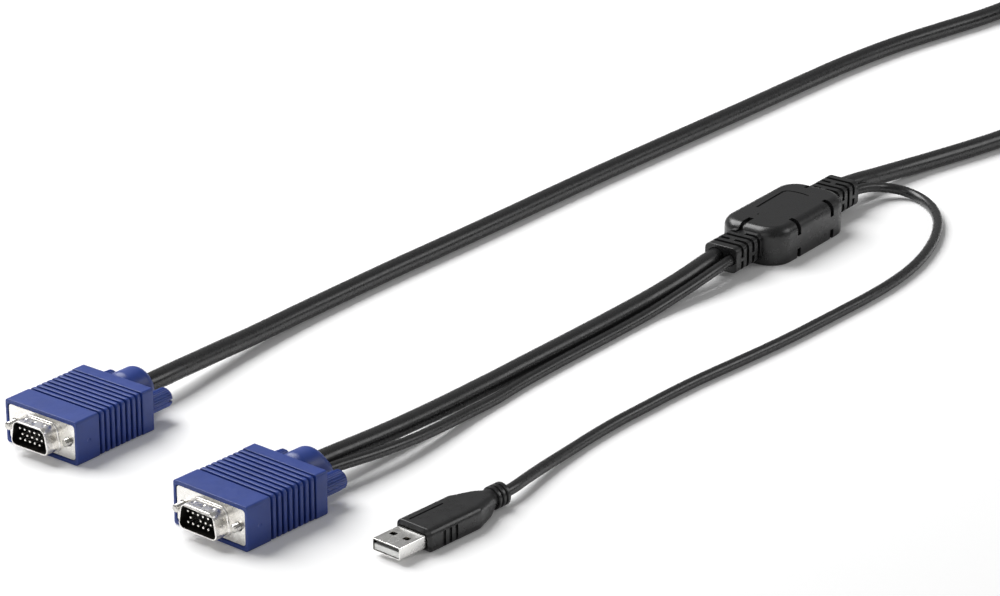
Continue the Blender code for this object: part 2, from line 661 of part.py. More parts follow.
def usb_taper(share):
    """Outline of the grip as it narrows to its neck; share runs from 0 to 1."""
    ease = share * share * (3 - 2 * share)
    across = USB_BODY_WIDTH / 2 + (USB_NECK_RADIUS - USB_BODY_WIDTH / 2) * ease
    up = USB_BODY_HEIGHT / 2 + (USB_NECK_RADIUS - USB_BODY_HEIGHT / 2) * ease
    corner = USB_BODY_CORNER + (USB_NECK_RADIUS - USB_BODY_CORNER) * ease
    return rectangle(2 * across, 2 * up, corner)


def make_usb_overmould(carrier):
    """Black grip with its neck rings and the seats for the shell, core and cord."""
    front_inset = USB_BODY_CORNER / 2
    grip = rectangle(USB_BODY_WIDTH, USB_BODY_HEIGHT, USB_BODY_CORNER)
    nose = rectangle(USB_BODY_WIDTH - 2 * front_inset, USB_BODY_HEIGHT - 2 * front_inset,
                     USB_BODY_CORNER)
    stations = [(BODY_FRONT, nose), (BODY_FRONT + front_inset, grip)]
    stations += [(TAPER_START + share * USB_TAPER_LENGTH, usb_taper(share))
                 for share in (0.0, 0.2, 0.4, 0.6, 0.8, 1.0)]
    for index in range(USB_RING_COUNT):
        start = RINGS_START + index * (USB_RING_WIDTH + USB_RING_GAP)
        end = start + USB_RING_WIDTH
        stations += [(start, circle(USB_NECK_RADIUS)), (start, circle(USB_RING_RADIUS)),
                     (end, circle(USB_RING_RADIUS))]
        if index < USB_RING_COUNT - 1:
            stations.append((end, circle(USB_NECK_RADIUS)))
    room = rectangle(USB_SHELL_WIDTH + 2 * GAP, USB_SHELL_HEIGHT + 2 * GAP, USB_SHELL_CORNER)
    chamber = circle(USB_FERRULE_RADIUS + GAP)
    stations += [(USB_END, circle(USB_HOLE_RADIUS)),
                 (USB_FERRULE_REAR + GAP, circle(USB_HOLE_RADIUS)),
                 (USB_FERRULE_REAR + GAP, chamber), (USB_CORE_REAR + GAP, chamber),
                 (USB_CORE_REAR + GAP, room), (BODY_FRONT, room)]
    loft("usb_overmould", [across_x(x, outline, 0.0, USB_AXIS_Z) for x, outline in stations],
         BLACK_PVC, carrier, closed=True)


def box_rings(start, end, width, low, high, y=0.0):
    """A plain box along X."""
    side = width / 2
    outline = [(y + side, high), (y - side, high), (y - side, low), (y + side, low)]
    return [across_x(x, outline) for x in (start, end)]


def make_usb_shell_and_contacts(carrier):
    """Folded steel shell with its latch windows, the tongue and the four contacts."""
    outer = rectangle(USB_SHELL_WIDTH, USB_SHELL_HEIGHT, USB_SHELL_CORNER)
    inner = rectangle(USB_SHELL_WIDTH - 2 * USB_SHELL_WALL, USB_SHELL_HEIGHT - 2 * USB_SHELL_WALL,
                      USB_SHELL_CORNER - USB_SHELL_WALL)
    sections = ((0.0, outer), (SHELL_REAR, outer), (SHELL_REAR, inner), (0.0, inner))
    shell = loft("usb_shell", [across_x(x, ring, 0.0, USB_AXIS_Z) for x, ring in sections],
                 NICKEL, carrier, closed=True)
    reach = USB_SHELL_HEIGHT
    for side, y in (("left", USB_WINDOW_Y), ("right", -USB_WINDOW_Y)):
        window = box_rings(USB_WINDOW_X - USB_WINDOW_LENGTH / 2,
                           USB_WINDOW_X + USB_WINDOW_LENGTH / 2, USB_WINDOW_WIDTH,
                           USB_AXIS_Z - reach, USB_AXIS_Z + reach, y)
        cut(shell, loft("usb_window_" + side, window, NICKEL, carrier))
    tongue_low = USB_AXIS_Z - USB_SHELL_HEIGHT / 2 + USB_SHELL_WALL + GAP
    tongue_high = tongue_low + USB_TONGUE_HEIGHT
    tongue_width = USB_SHELL_WIDTH - 2 * USB_SHELL_WALL - 2 * GAP
    tongue = loft("usb_insulator", box_rings(USB_TONGUE_FRONT, SHELL_REAR - GAP, tongue_width,
                                             tongue_low, tongue_high), WHITE_PLASTIC, carrier)
    grooves = []
    places = (-USB_CONTACT_OUTER_Y, -USB_CONTACT_INNER_Y, USB_CONTACT_INNER_Y, USB_CONTACT_OUTER_Y)
    for number, y in enumerate(places, 1):
        strip = box_rings(USB_CONTACT_FRONT, SHELL_REAR - GAP, USB_CONTACT_WIDTH,
                          tongue_high - USB_CONTACT_HEIGHT, tongue_high, y)
        loft("usb_contact_" + str(number), strip, GOLD, carrier)
        grooves.append(box_rings(USB_CONTACT_FRONT - GAP, SHELL_REAR + GAP,
                                 USB_CONTACT_WIDTH + 2 * GAP,
                                 tongue_high - USB_CONTACT_HEIGHT - GAP, tongue_high + GAP, y))
    cut(tongue, helper_group("usb_contact_grooves", grooves, WHITE_PLASTIC, carrier))


def make_usb_sealed_pieces(carrier):
    """Inner mould behind the shell, the conductors in it and the ferrule on the cord."""
    outer = rectangle(USB_SHELL_WIDTH, USB_SHELL_HEIGHT, USB_SHELL_CORNER)
    bore = circle(USB_CORE_RADIUS + GAP)
    sections = ((USB_CORE_FRONT, outer), (USB_CORE_REAR, outer),
                (USB_CORE_REAR, bore), (USB_CORE_FRONT, bore))
    loft("usb_inner_mould", [across_x(x, ring, 0.0, USB_AXIS_Z) for x, ring in sections],
         CLEAR_PE, carrier, closed=True)
    core = core_rings(USB_CORE_FRONT, USB_CORD_END - GAP, USB_CORE_RADIUS, USB_CORE_LOBES,
                      USB_CORE_LOBE_DEPTH, CORE_TWIST, 0.0, USB_AXIS_Z)
    loft("usb_cord_core", core, COPPER, carrier)
    sleeve = [across_x(x, circle(radius), 0.0, USB_AXIS_Z) for x, radius
              in tube_rings(USB_FERRULE_FRONT, USB_FERRULE_REAR, USB_HOLE_RADIUS,
                            USB_FERRULE_RADIUS)]
    loft("usb_ferrule", sleeve, NICKEL, carrier, closed=True)


def make_usb_plug():
    carrier = frame("usb_plug", USB_AT, USB_YAW)
    make_usb_overmould(carrier)
    make_usb_shell_and_contacts(carrier)
    make_usb_sealed_pieces(carrier)
    return carrier


# Cords

def smooth(route, steps=24):
    """Points close together on one smooth curve through the route (centripetal spline)."""
    knots = [Vector(point) for point in route]
    ends = [2 * knots[0] - knots[1]] + knots + [2 * knots[-1] - knots[-2]]
    points = []
    for index in range(1, len(ends) - 2):
        before, here, there, after = ends[index - 1:index + 3]
        t1 = (here - before).length ** 0.5
        t2 = t1 + (there - here).length ** 0.5
        t3 = t2 + (after - there).length ** 0.5
        for step in range(steps):
            t = t1 + (t2 - t1) * step / steps
            a1 = before * ((t1 - t) / t1) + here * (t / t1)
            a2 = here * ((t2 - t) / (t2 - t1)) + there * ((t - t1) / (t2 - t1))
            a3 = there * ((t3 - t) / (t3 - t2)) + after * ((t - t2) / (t3 - t2))
            b1 = a1 * ((t2 - t) / t2) + a2 * (t / t2)
            b2 = a2 * ((t3 - t) / (t3 - t1)) + a3 * ((t - t1) / (t3 - t1))
            points.append(b1 * ((t2 - t) / (t2 - t1)) + b2 * ((t - t1) / (t2 - t1)))
    points.append(knots[-1])
    return points


def spaced(points, spacing):
    """Every so far along a run of close points, ends included."""
    runs = [0.0]
    for before, here in zip(points, points[1:]):
        runs.append(runs[-1] + (here - before).length)
    count = max(2, round(runs[-1] / spacing))
    picked = []
    index = 0
    for step in range(count + 1):
        target = runs[-1] * step / count
        while index < len(runs) - 2 and runs[index + 1] < target:
            index += 1
        share = (target - runs[index]) / (runs[index + 1] - runs[index])
        picked.append(points[index].lerp(points[index + 1], share))
    return picked


def cord(name, route, diameter, sides):
    """A round cord along a smooth route, with a point every three diameters."""
    points = spaced(smooth(route), 3 * diameter)
    data = bpy.data.curves.new(name, "CURVE")
    data.dimensions = "3D"
    line = data.splines.new("POLY")
    line.points.add(len(points) - 1)
    for knot, point in zip(line.points, points):
        knot.co = (*point, 1.0)
    data.bevel_depth = diameter / 2
    data.bevel_resolution = sides
    data.use_fill_caps = True
    data.materials.append(CORD_PVC)
    made = bpy.data.objects.new(name, data)
    bpy.context.collection.objects.link(made)


def in_frame(place, yaw, points):
    """Points of a plug's own frame, in the whole cable's frame."""
    turned = Matrix.Translation(place) @ Matrix.Rotation(yaw, 4, "Z")
    return [tuple(turned @ Vector(point)) for point in points]


def straight(start, end, y, z):
    """Three points of the stretch of cord that a plug or the block holds."""
    return [(start, y, z), ((start + end) / 2, y, z), (end, y, z)]


ON_FLOOR = VIDEO_CORD_RADIUS
THIN_ON_FLOOR = USB_CORD_RADIUS

CONSOLE_RUN = in_frame(CONSOLE_AT, CONSOLE_YAW, straight(CORD_END, BOOT_END, 0.0, HOOD_AXIS_Z)) + [
    (0.0540, 0.0001, 0.0080), (0.0630, 0.0007, 0.0077), (0.0754, 0.0021, 0.0068),
    (0.0900, 0.0037, 0.0058), (0.1037, 0.0050, 0.0049), (0.1180, 0.0062, 0.0043),
    (0.1336, 0.0073, 0.0039), (0.1631, 0.0084, ON_FLOOR),
    (0.1922, 0.0088, ON_FLOOR), (0.2212, 0.0087, ON_FLOOR), (0.2523, 0.0088, ON_FLOOR),
    (0.2848, 0.0092, ON_FLOOR), (0.3174, 0.0094, ON_FLOOR), (0.3501, 0.0092, ON_FLOOR),
    (0.3846, 0.0088, ON_FLOOR), (0.4189, 0.0084, ON_FLOOR), (0.4555, 0.0082, ON_FLOOR),
    (0.4934, 0.0076, ON_FLOOR), (0.5283, 0.0048, ON_FLOOR), (0.5594, -0.0002, ON_FLOOR),
    (0.5751, -0.0030, ON_FLOOR), (0.5926, -0.0053, ON_FLOOR), (0.6060, -0.0061, ON_FLOOR),
    (0.6180, -0.0061, ON_FLOOR), (0.6270, -0.0057, ON_FLOOR)]

JUNCTION_RUN = [
    (0.6055, -0.0991, 0.0084), (0.5940, -0.0993, 0.0067), (0.5820, -0.0996, 0.0052),
    (0.5690, -0.1000, 0.0042), (0.5550, -0.1004, ON_FLOOR), (0.5350, -0.1006, ON_FLOOR),
    (0.5150, -0.1002, ON_FLOOR), (0.4980, -0.0992, ON_FLOOR), (0.4800, -0.0977, ON_FLOOR),
    (0.4650, -0.0959, ON_FLOOR),
    (0.4515, -0.0938, ON_FLOOR), (0.4368, -0.0909, ON_FLOOR), (0.4231, -0.0878, ON_FLOOR),
    (0.4103, -0.0850, 0.0037), (0.3955, -0.0826, 0.0044), (0.3806, -0.0812, 0.0056),
    (0.3710, -0.0807, 0.0067)
] + in_frame(BLOCK_AT, BLOCK_YAW, straight(RELIEF_END, CAVITY_END, BLOCK_THICK_Y, BLOCK_AXIS_Z))

VIDEO_BRANCH = in_frame(COMPUTER_AT, COMPUTER_YAW,
                        straight(CORD_END, BOOT_END, COMPUTER_THICK_Y, HOOD_AXIS_Z)) + [
    (0.0400, -0.0889, 0.0079), (0.0498, -0.0892, 0.0075), (0.0620, -0.0893, 0.0068),
    (0.0760, -0.0891, 0.0060), (0.0900, -0.0885, 0.0052), (0.1040, -0.0878, 0.0045),
    (0.1190, -0.0870, 0.0039),
    (0.1331, -0.0865, ON_FLOOR), (0.1478, -0.0862, ON_FLOOR), (0.1624, -0.0860, ON_FLOOR),
    (0.1771, -0.0858, ON_FLOOR), (0.1924, -0.0855, ON_FLOOR), (0.2085, -0.0850, ON_FLOOR),
    (0.2245, -0.0847, 0.0038), (0.2409, -0.0850, 0.0050), (0.2500, -0.0853, 0.0061),
    (0.2590, -0.0852, 0.0071)
] + in_frame(BLOCK_AT, BLOCK_YAW, straight(-RELIEF_END, -CAVITY_END, BLOCK_THICK_Y, BLOCK_AXIS_Z))

CONTROL_BRANCH = in_frame(COMPUTER_AT, COMPUTER_YAW,
                          straight(MOULD_REAR + GAP, BOOT_END, COMPUTER_THIN_Y, HOOD_AXIS_Z)) + [
    (0.0440, -0.0966, 0.0074), (0.0536, -0.0975, 0.0066), (0.0660, -0.0981, 0.0057),
    (0.0782, -0.0979, 0.0047), (0.0930, -0.0969, 0.0036), (0.1080, -0.0955, 0.0026),
    (0.1230, -0.0946, THIN_ON_FLOOR), (0.1389, -0.0932, THIN_ON_FLOOR),
    (0.1542, -0.0924, THIN_ON_FLOOR), (0.1696, -0.0919, THIN_ON_FLOOR),
    (0.1857, -0.0916, THIN_ON_FLOOR), (0.2026, -0.0912, THIN_ON_FLOOR),
    (0.2193, -0.0909, 0.0024), (0.2340, -0.0911, 0.0038), (0.2470, -0.0916, 0.0055),
    (0.2575, -0.0918, 0.0069)
] + in_frame(BLOCK_AT, BLOCK_YAW, straight(-RELIEF_END, -CAVITY_END, BLOCK_THIN_Y, BLOCK_AXIS_Z))

USB_RUN = in_frame(USB_AT, USB_YAW, straight(USB_CORD_END, USB_END, 0.0, USB_AXIS_Z)) + [
    (0.0675, -0.1470, 0.0040), (0.0750, -0.1457, 0.0037), (0.0885, -0.1434, 0.0029),
    (0.1050, -0.1413, 0.0022), (0.1203, -0.1399, THIN_ON_FLOOR), (0.1357, -0.1393, THIN_ON_FLOOR),
    (0.1505, -0.1394, THIN_ON_FLOOR), (0.1649, -0.1395, THIN_ON_FLOOR),
    (0.1793, -0.1400, THIN_ON_FLOOR), (0.1928, -0.1410, THIN_ON_FLOOR),
    (0.2065, -0.1421, THIN_ON_FLOOR), (0.2205, -0.1431, THIN_ON_FLOOR),
    (0.2354, -0.1438, THIN_ON_FLOOR), (0.2515, -0.1441, THIN_ON_FLOOR),
    (0.2673, -0.1443, THIN_ON_FLOOR), (0.2834, -0.1444, THIN_ON_FLOOR),
    (0.3015, -0.1434, THIN_ON_FLOOR), (0.3180, -0.1410, THIN_ON_FLOOR),
    (0.3338, -0.1368, THIN_ON_FLOOR), (0.3500, -0.1304, THIN_ON_FLOOR),
    (0.3648, -0.1218, THIN_ON_FLOOR), (0.3755, -0.1118, THIN_ON_FLOOR),
    (0.3807, -0.1020, 0.0023), (0.3800, -0.0945, 0.0034), (0.3750, -0.0896, 0.0048),
    (0.3680, -0.0875, 0.0065)
] + in_frame(BLOCK_AT, BLOCK_YAW, straight(RELIEF_END, CAVITY_END, BLOCK_THIN_Y, BLOCK_AXIS_Z))


def make_coil():
    """The coil's outer shape as one ring, and the strap that ties it."""
    width = COIL_TURNS_WIDE * VIDEO_CORD_DIAMETER + GAP
    height = COIL_TURNS_HIGH * VIDEO_CORD_DIAMETER
    section = rectangle(width, height, VIDEO_CORD_RADIUS, 2)
    carrier = frame("coil_place", (*COIL_CENTRE, 0.0), TIE_ANGLE)
    rings = []
    for index in range(COIL_SEGMENTS):
        angle = 2 * math.pi * (index + 0.5) / COIL_SEGMENTS
        rings.append([((COIL_RADIUS + point.x) * math.cos(angle),
                       (COIL_RADIUS + point.x) * math.sin(angle),
                       height / 2 + point.y) for point in section])
    coil = loft("cord_coil", rings, CORD_PVC, carrier, closed=True)
    side = TIE_WIDTH / 2
    near = math.sqrt((COIL_RADIUS - width / 2) ** 2 - side ** 2) - 2 * GAP
    far = COIL_RADIUS + width / 2 + GAP
    top = height + GAP
    way = [(near - side, -side - GAP), (far + side, -side - GAP),
           (far + side, side + GAP), (near - side, side + GAP)]
    groove = [level(z, way) for z in (-GAP, TIE_THICKNESS + GAP)]
    cut(coil, loft("tie_groove", groove, CORD_PVC, carrier))
    centre_x = (near + far) / 2
    centre_z = (TIE_THICKNESS + top) / 2
    inner = rectangle(far - near, top - TIE_THICKNESS, VIDEO_CORD_RADIUS / 2, 2)
    outer = rectangle(far - near + 2 * TIE_THICKNESS, top + TIE_THICKNESS,
                      VIDEO_CORD_RADIUS / 2 + TIE_THICKNESS, 2)
    edges = ((-side, outer), (side, outer), (side, inner), (-side, inner))
    loft("coil_tie", [[(centre_x + point.x, y, centre_z + point.y) for point in ring]
                      for y, ring in edges], TIE_FABRIC, carrier, closed=True)


make_video_plug("console", CONSOLE_AT, CONSOLE_YAW, 0.0, None, ())
make_video_plug("computer", COMPUTER_AT, COMPUTER_YAW, COMPUTER_THICK_Y, COMPUTER_THIN_Y, ((1, 1),))
make_block()
make_usb_plug()
make_coil()
cord("console_cord_run", CONSOLE_RUN, VIDEO_CORD_DIAMETER, 2)
cord("junction_cord_run", JUNCTION_RUN, VIDEO_CORD_DIAMETER, 2)
cord("video_branch_cord", VIDEO_BRANCH, VIDEO_CORD_DIAMETER, 2)
cord("control_branch_cord", CONTROL_BRANCH, USB_CORD_DIAMETER, 2)
cord("usb_cord", USB_RUN, USB_CORD_DIAMETER, 2)
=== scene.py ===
"""A video and USB switch cable: two blue video plugs, a black junction block and a USB plug."""
import math

import bmesh
import bpy
from mathutils import Matrix, Vector


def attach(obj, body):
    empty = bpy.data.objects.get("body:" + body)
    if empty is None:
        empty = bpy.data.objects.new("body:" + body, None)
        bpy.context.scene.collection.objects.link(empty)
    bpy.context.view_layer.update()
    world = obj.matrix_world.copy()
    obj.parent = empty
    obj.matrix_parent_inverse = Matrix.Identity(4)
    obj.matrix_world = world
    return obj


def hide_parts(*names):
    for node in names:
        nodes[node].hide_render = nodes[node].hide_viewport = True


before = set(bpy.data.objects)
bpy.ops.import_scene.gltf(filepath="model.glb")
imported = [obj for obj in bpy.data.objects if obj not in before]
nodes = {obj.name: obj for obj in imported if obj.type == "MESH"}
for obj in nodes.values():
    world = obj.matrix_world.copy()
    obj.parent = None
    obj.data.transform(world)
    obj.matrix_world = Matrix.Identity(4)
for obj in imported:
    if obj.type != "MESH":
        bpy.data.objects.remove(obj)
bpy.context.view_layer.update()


# The table, its lamps and the camera.  The cable lies on a white table under one very large
# soft lamp above and behind it, with a weak one at its left and one at its right front, and
# the camera looks down at it.

def math_node(tree, operation, *terms):
    """One step of arithmetic; each term is a socket or a number."""
    made = tree.nodes.new("ShaderNodeMath")
    made.operation = operation
    for socket, term in zip(made.inputs, terms):
        if isinstance(term, float):
            socket.default_value = term
        else:
            tree.links.new(term, socket)
    return made.outputs[0]


bpy.ops.object.select_all(action="DESELECT")
bpy.ops.mesh.primitive_plane_add(size=16.0, location=(0.3, 0.0, -0.00003))
table = bpy.context.object
table.name = "table_top"
table_paint = bpy.data.materials.new("white_table")
table_paint.use_nodes = True
tree = table_paint.node_tree
tree.nodes.clear()
table_look = tree.nodes.new("ShaderNodeOutputMaterial")
table_diffuse = tree.nodes.new("ShaderNodeBsdfDiffuse")
table_diffuse.inputs["Color"].default_value = (0.94, 0.94, 0.94, 1.0)
table_lift = tree.nodes.new("ShaderNodeEmission")
table_sum = tree.nodes.new("ShaderNodeAddShader")
rays = tree.nodes.new("ShaderNodeLightPath").outputs
table_seen = math_node(tree, "MAXIMUM", rays["Is Camera Ray"], rays["Is Glossy Ray"])
link = tree.links.new
link(math_node(tree, "MULTIPLY", table_seen, 0.06), table_lift.inputs["Strength"])
link(table_diffuse.outputs[0], table_sum.inputs[0])
link(table_lift.outputs[0], table_sum.inputs[1])
link(table_sum.outputs[0], table_look.inputs["Surface"])
table.data.materials.append(table_paint)

world = bpy.data.worlds.new("white_room")
bpy.context.scene.world = world
world.use_nodes = True
tree = world.node_tree
tree.nodes.clear()
world_look = tree.nodes.new("ShaderNodeOutputWorld")
world_light = tree.nodes.new("ShaderNodeBackground")
world_light.inputs["Color"].default_value = (1.0, 1.0, 1.0, 1.0)
world_light.inputs["Strength"].default_value = 0.10
world_white = tree.nodes.new("ShaderNodeBackground")
world_white.inputs["Strength"].default_value = 1.0
world_mix = tree.nodes.new("ShaderNodeMixShader")
rays = tree.nodes.new("ShaderNodeLightPath").outputs
world_mirrored = math_node(tree, "MULTIPLY", rays["Is Glossy Ray"], 0.20)
link = tree.links.new
link(math_node(tree, "MAXIMUM", rays["Is Camera Ray"], world_mirrored), world_mix.inputs["Fac"])
link(world_light.outputs[0], world_mix.inputs[1])
link(world_white.outputs[0], world_mix.inputs[2])
link(world_mix.outputs[0], world_look.inputs["Surface"])


def lamp(name, place, target, size, watts):
    """A square soft lamp that faces a point."""
    data = bpy.data.lights.new(name, "AREA")
    data.shape = "SQUARE"
    data.size = size
    data.energy = watts
    made = bpy.data.objects.new(name, data)
    bpy.context.collection.objects.link(made)
    made.location = place
    made.rotation_euler = (Vector(target) - Vector(place)).to_track_quat("-Z", "Y").to_euler()


lamp("key_lamp", (0.16, 0.94, 1.22), (0.22, -0.05, 0.0), 1.25, 36.5)
lamp("right_lamp", (1.15, -1.05, 0.74), (0.25, -0.06, 0.0), 0.66, 4.2)
lamp("fill_lamp", (-1.3, -0.3, 0.8), (0.1, -0.05, 0.0), 0.9, 2.5)

camera = bpy.data.objects.new("camera", bpy.data.cameras.new("camera"))
bpy.context.collection.objects.link(camera)
camera.location = (-0.8688, -0.8869, 0.5648)
camera.rotation_euler = (Vector((0.2003, -0.0352, 0.0)) - camera.location).to_track_quat(
    "-Z", "Y").to_euler()
camera.data.lens = 143.17
camera.data.sensor_width = 36.0
camera.data.clip_start = 0.05
camera.data.clip_end = 40.0
bpy.context.scene.camera = camera
bpy.context.scene.view_settings.view_transform = "Standard"


# The cords.  Each is a copper core in an extruded black PVC jacket with a satin skin.  The main
# one runs from the console plug to the junction block, with two and a half turns wound up on
# its way.  From there a thick and a thin cord go to the computer plug and a thin one to USB.
video_cord, thin_cord = 0.0071, 0.0040
video_rest, thin_rest = video_cord / 2, thin_cord / 2
thick_bore, thin_bore = 0.00385, 0.0023
plug_axis, block_axis, usb_axis = 0.00805, 0.0075, 0.0039
computer_thick_y, computer_thin_y = 0.0023, -0.00435
block_thick_y, block_thin_y = 0.00235, -0.0041
point_gap = 0.0022


def lying(x, y, degrees):
    """How a plug or the block lies, as a matrix from its own frame."""
    return Matrix.Translation((x, y, 0.0)) @ Matrix.Rotation(math.radians(degrees), 4, "Z")


console_lie, computer_lie = lying(-0.0050, 0.0, 0.0), lying(-0.0178, -0.0890, -2.3)
block_lie, usb_lie = lying(0.3130, -0.0846, 3.0), lying(0.0054, -0.1438, -3.3)


def new_skin(name, inputs):
    """A node group that gives a colour, a roughness and a height, and with it the sockets
    for what it takes and gives and its object coordinates."""
    group = bpy.data.node_groups.new(name, "ShaderNodeTree")
    for label, value in inputs:
        kind = "NodeSocketFloat" if isinstance(value, float) else "NodeSocketColor"
        socket = group.interface.new_socket(name=label, in_out="INPUT", socket_type=kind)
        socket.default_value = value
    for label, kind in (("Colour", "NodeSocketColor"), ("Roughness", "NodeSocketFloat"),
                        ("Height", "NodeSocketFloat")):
        group.interface.new_socket(name=label, in_out="OUTPUT", socket_type=kind)
    taken, given = group.nodes.new("NodeGroupInput"), group.nodes.new("NodeGroupOutput")
    where = group.nodes.new("ShaderNodeTexCoord")
    return group, taken.outputs, given.inputs, where.outputs["Object"]


def noise_node(group, vector, scale, detail):
    """Noise on object coordinates."""
    made = group.nodes.new("ShaderNodeTexNoise")
    made.inputs["Scale"].default_value = scale
    made.inputs["Detail"].default_value = detail
    group.links.new(vector, made.inputs["Vector"])
    return made.outputs["Fac"]


def spread_node(group, value, low, high):
    """Maps a 0 to 1 value onto a range."""
    made = group.nodes.new("ShaderNodeMapRange")
    made.inputs["From Min"].default_value = 0.3
    made.inputs["From Max"].default_value = 0.7
    made.inputs["To Min"].default_value = low
    made.inputs["To Max"].default_value = high
    group.links.new(value, made.inputs["Value"])
    return made.outputs["Result"]


def shaded(group, colour, value):
    """The colour times a value."""
    made = group.nodes.new("ShaderNodeMix")
    made.data_type = "RGBA"
    made.blend_type = "MULTIPLY"
    made.inputs["Factor"].default_value = 1.0
    group.links.new(colour, made.inputs["A"])
    group.links.new(value, made.inputs["B"])
    return made.outputs["Result"]


# Moulded and extruded plastic: faint clouding, patches that are a little glossier, and a
# fine grain from the tool.
plastic_skin, taken, given, where = new_skin("plastic_skin", (
    ("Colour", (0.05, 0.05, 0.05, 1.0)), ("Roughness", 0.45), ("Grain", 9000.0)))
link = plastic_skin.links.new
cloud = spread_node(plastic_skin, noise_node(plastic_skin, where, 120.0, 3.0), 0.92, 1.08)
link(shaded(plastic_skin, taken["Colour"], cloud), given["Colour"])
patch = spread_node(plastic_skin, noise_node(plastic_skin, where, 420.0, 4.0), -0.05, 0.05)
link(math_node(plastic_skin, "ADD", taken["Roughness"], patch), given["Roughness"])
grain = plastic_skin.nodes.new("ShaderNodeTexNoise")
grain.inputs["Detail"].default_value = 2.0
link(where, grain.inputs["Vector"])
link(taken["Grain"], grain.inputs["Scale"])
link(grain.outputs["Fac"], given["Height"])


def with_skin(name, skin, bump_strength, depth, **values):
    """A material that wears a skin, and its shader's sockets."""
    made = bpy.data.materials.new(name)
    made.use_nodes = True
    tree = made.node_tree
    shader = tree.nodes["Principled BSDF"].inputs
    worn = tree.nodes.new("ShaderNodeGroup")
    worn.node_tree = skin
    for label, value in values.items():
        worn.inputs[label].default_value = value
    bump = tree.nodes.new("ShaderNodeBump")
    bump.inputs["Strength"].default_value = bump_strength
    bump.inputs["Distance"].default_value = depth
    tree.links.new(worn.outputs["Colour"], shader["Base Color"])
    tree.links.new(worn.outputs["Roughness"], shader["Roughness"])
    tree.links.new(worn.outputs["Height"], bump.inputs["Height"])
    tree.links.new(bump.outputs["Normal"], shader["Normal"])
    return made, shader


def plastic(name, colour, roughness, grain_scale, depth, sheen_level=0.5):
    """A plastic with that skin."""
    made, shader = with_skin(name, plastic_skin, 0.35, depth, Colour=(*colour, 1.0),
                             Roughness=roughness, Grain=grain_scale)
    shader["Specular IOR Level"].default_value = sheen_level
    return made


jacket = plastic("cord_jacket_pvc", (0.018, 0.018, 0.0185), 0.28, 1800.0, 0.000012)


def smooth(route, steps=24):
    """Points close together on one smooth curve through the route."""
    knots = [Vector(point) for point in route]
    ends = [2 * knots[0] - knots[1]] + knots + [2 * knots[-1] - knots[-2]]
    points = []
    for index in range(1, len(ends) - 2):
        before, here, there, after = ends[index - 1:index + 3]
        t1 = (here - before).length ** 0.5
        t2 = t1 + (there - here).length ** 0.5
        t3 = t2 + (after - there).length ** 0.5
        for step in range(steps):
            t = t1 + (t2 - t1) * step / steps
            a1 = before * ((t1 - t) / t1) + here * (t / t1)
            a2 = here * ((t2 - t) / (t2 - t1)) + there * ((t - t1) / (t2 - t1))
            a3 = there * ((t3 - t) / (t3 - t2)) + after * ((t - t2) / (t3 - t2))
            b1 = a1 * ((t2 - t) / t2) + a2 * (t / t2)
            b2 = a2 * ((t3 - t) / (t3 - t1)) + a3 * ((t - t1) / (t3 - t1))
            points.append(b1 * ((t2 - t) / (t2 - t1)) + b2 * ((t - t1) / (t2 - t1)))
    points.append(knots[-1])
    return points


def evenly(points, spacing):
    """The same curve with its points evenly spaced."""
    runs = [0.0]
    for before, here in zip(points, points[1:]):
        runs.append(runs[-1] + (here - before).length)
    count = round(runs[-1] / spacing)
    picked = []
    index = 0
    for step in range(count + 1):
        target = runs[-1] * step / count
        while index < len(runs) - 2 and runs[index + 1] < target:
            index += 1
        share = (target - runs[index]) / (runs[index + 1] - runs[index])
        picked.append(points[index].lerp(points[index + 1], share))
    return picked


def in_frame(lie, points):
    """Points of a plug's own frame, in the whole cable's frame."""
    return [tuple(lie @ Vector(point)) for point in points]


def held(start, end, y, z):
    """The straight stretch that a plug or the block holds."""
    return [(start, y, z), ((start + end) / 2, y, z), (end, y, z)]


def resting(height, *places):
    """The stretch that lies on the table."""
    return [(x, y, height) for x, y in places]


def lay_cord(name, route, diameter):
    """A round cord along a smooth route."""
    data = bpy.data.curves.new(name, "CURVE")
    data.dimensions = "3D"
    points = evenly(smooth(route), point_gap)
    line = data.splines.new("POLY")
    line.points.add(len(points) - 1)
    for knot, point in zip(line.points, points):
        knot.co = (*point, 1.0)
    line.use_smooth = True
    data.bevel_depth = diameter / 2
    data.bevel_resolution = 8
    data.use_fill_caps = True
    data.materials.append(jacket)
    made = bpy.data.objects.new(name, data)
    bpy.context.collection.objects.link(made)
    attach(made, "cable")
    return made


def ease(value, start, end):
    """0 before start, 1 after end, and smooth between."""
    share = min(max((value - start) / (end - start), 0.0), 1.0)
    return share * share * (3 - 2 * share)


coil_x, coil_y = 0.6320, -0.0560
coil_start, coil_end = 0.0501, 0.0428
coil_outer, coil_inner, coil_upper = 0.0426, 0.0354, 0.0390
upper_rest, over_rest = 0.00978, 0.01075
coil_route = []
for turn in range(0, 901, 12):
    reach = coil_start + (coil_outer - coil_start) * ease(turn, 0, 70)
    reach += (coil_inner - coil_outer) * ease(turn, 340, 420)
    reach += (coil_upper - coil_inner) * ease(turn, 645, 705)
    reach += (coil_end - coil_upper) * ease(turn, 845, 900)
    lift = video_rest + (upper_rest - video_rest) * ease(turn, 600, 700)
    lift += (over_rest - upper_rest) * (ease(turn, 700, 725) - ease(turn, 765, 795))
    lift += (over_rest - upper_rest) * ease(turn, 840, 890)
    bearing = math.radians(90 - turn)
    coil_route.append((coil_x + reach * math.cos(bearing),
                       coil_y + reach * math.sin(bearing), lift))

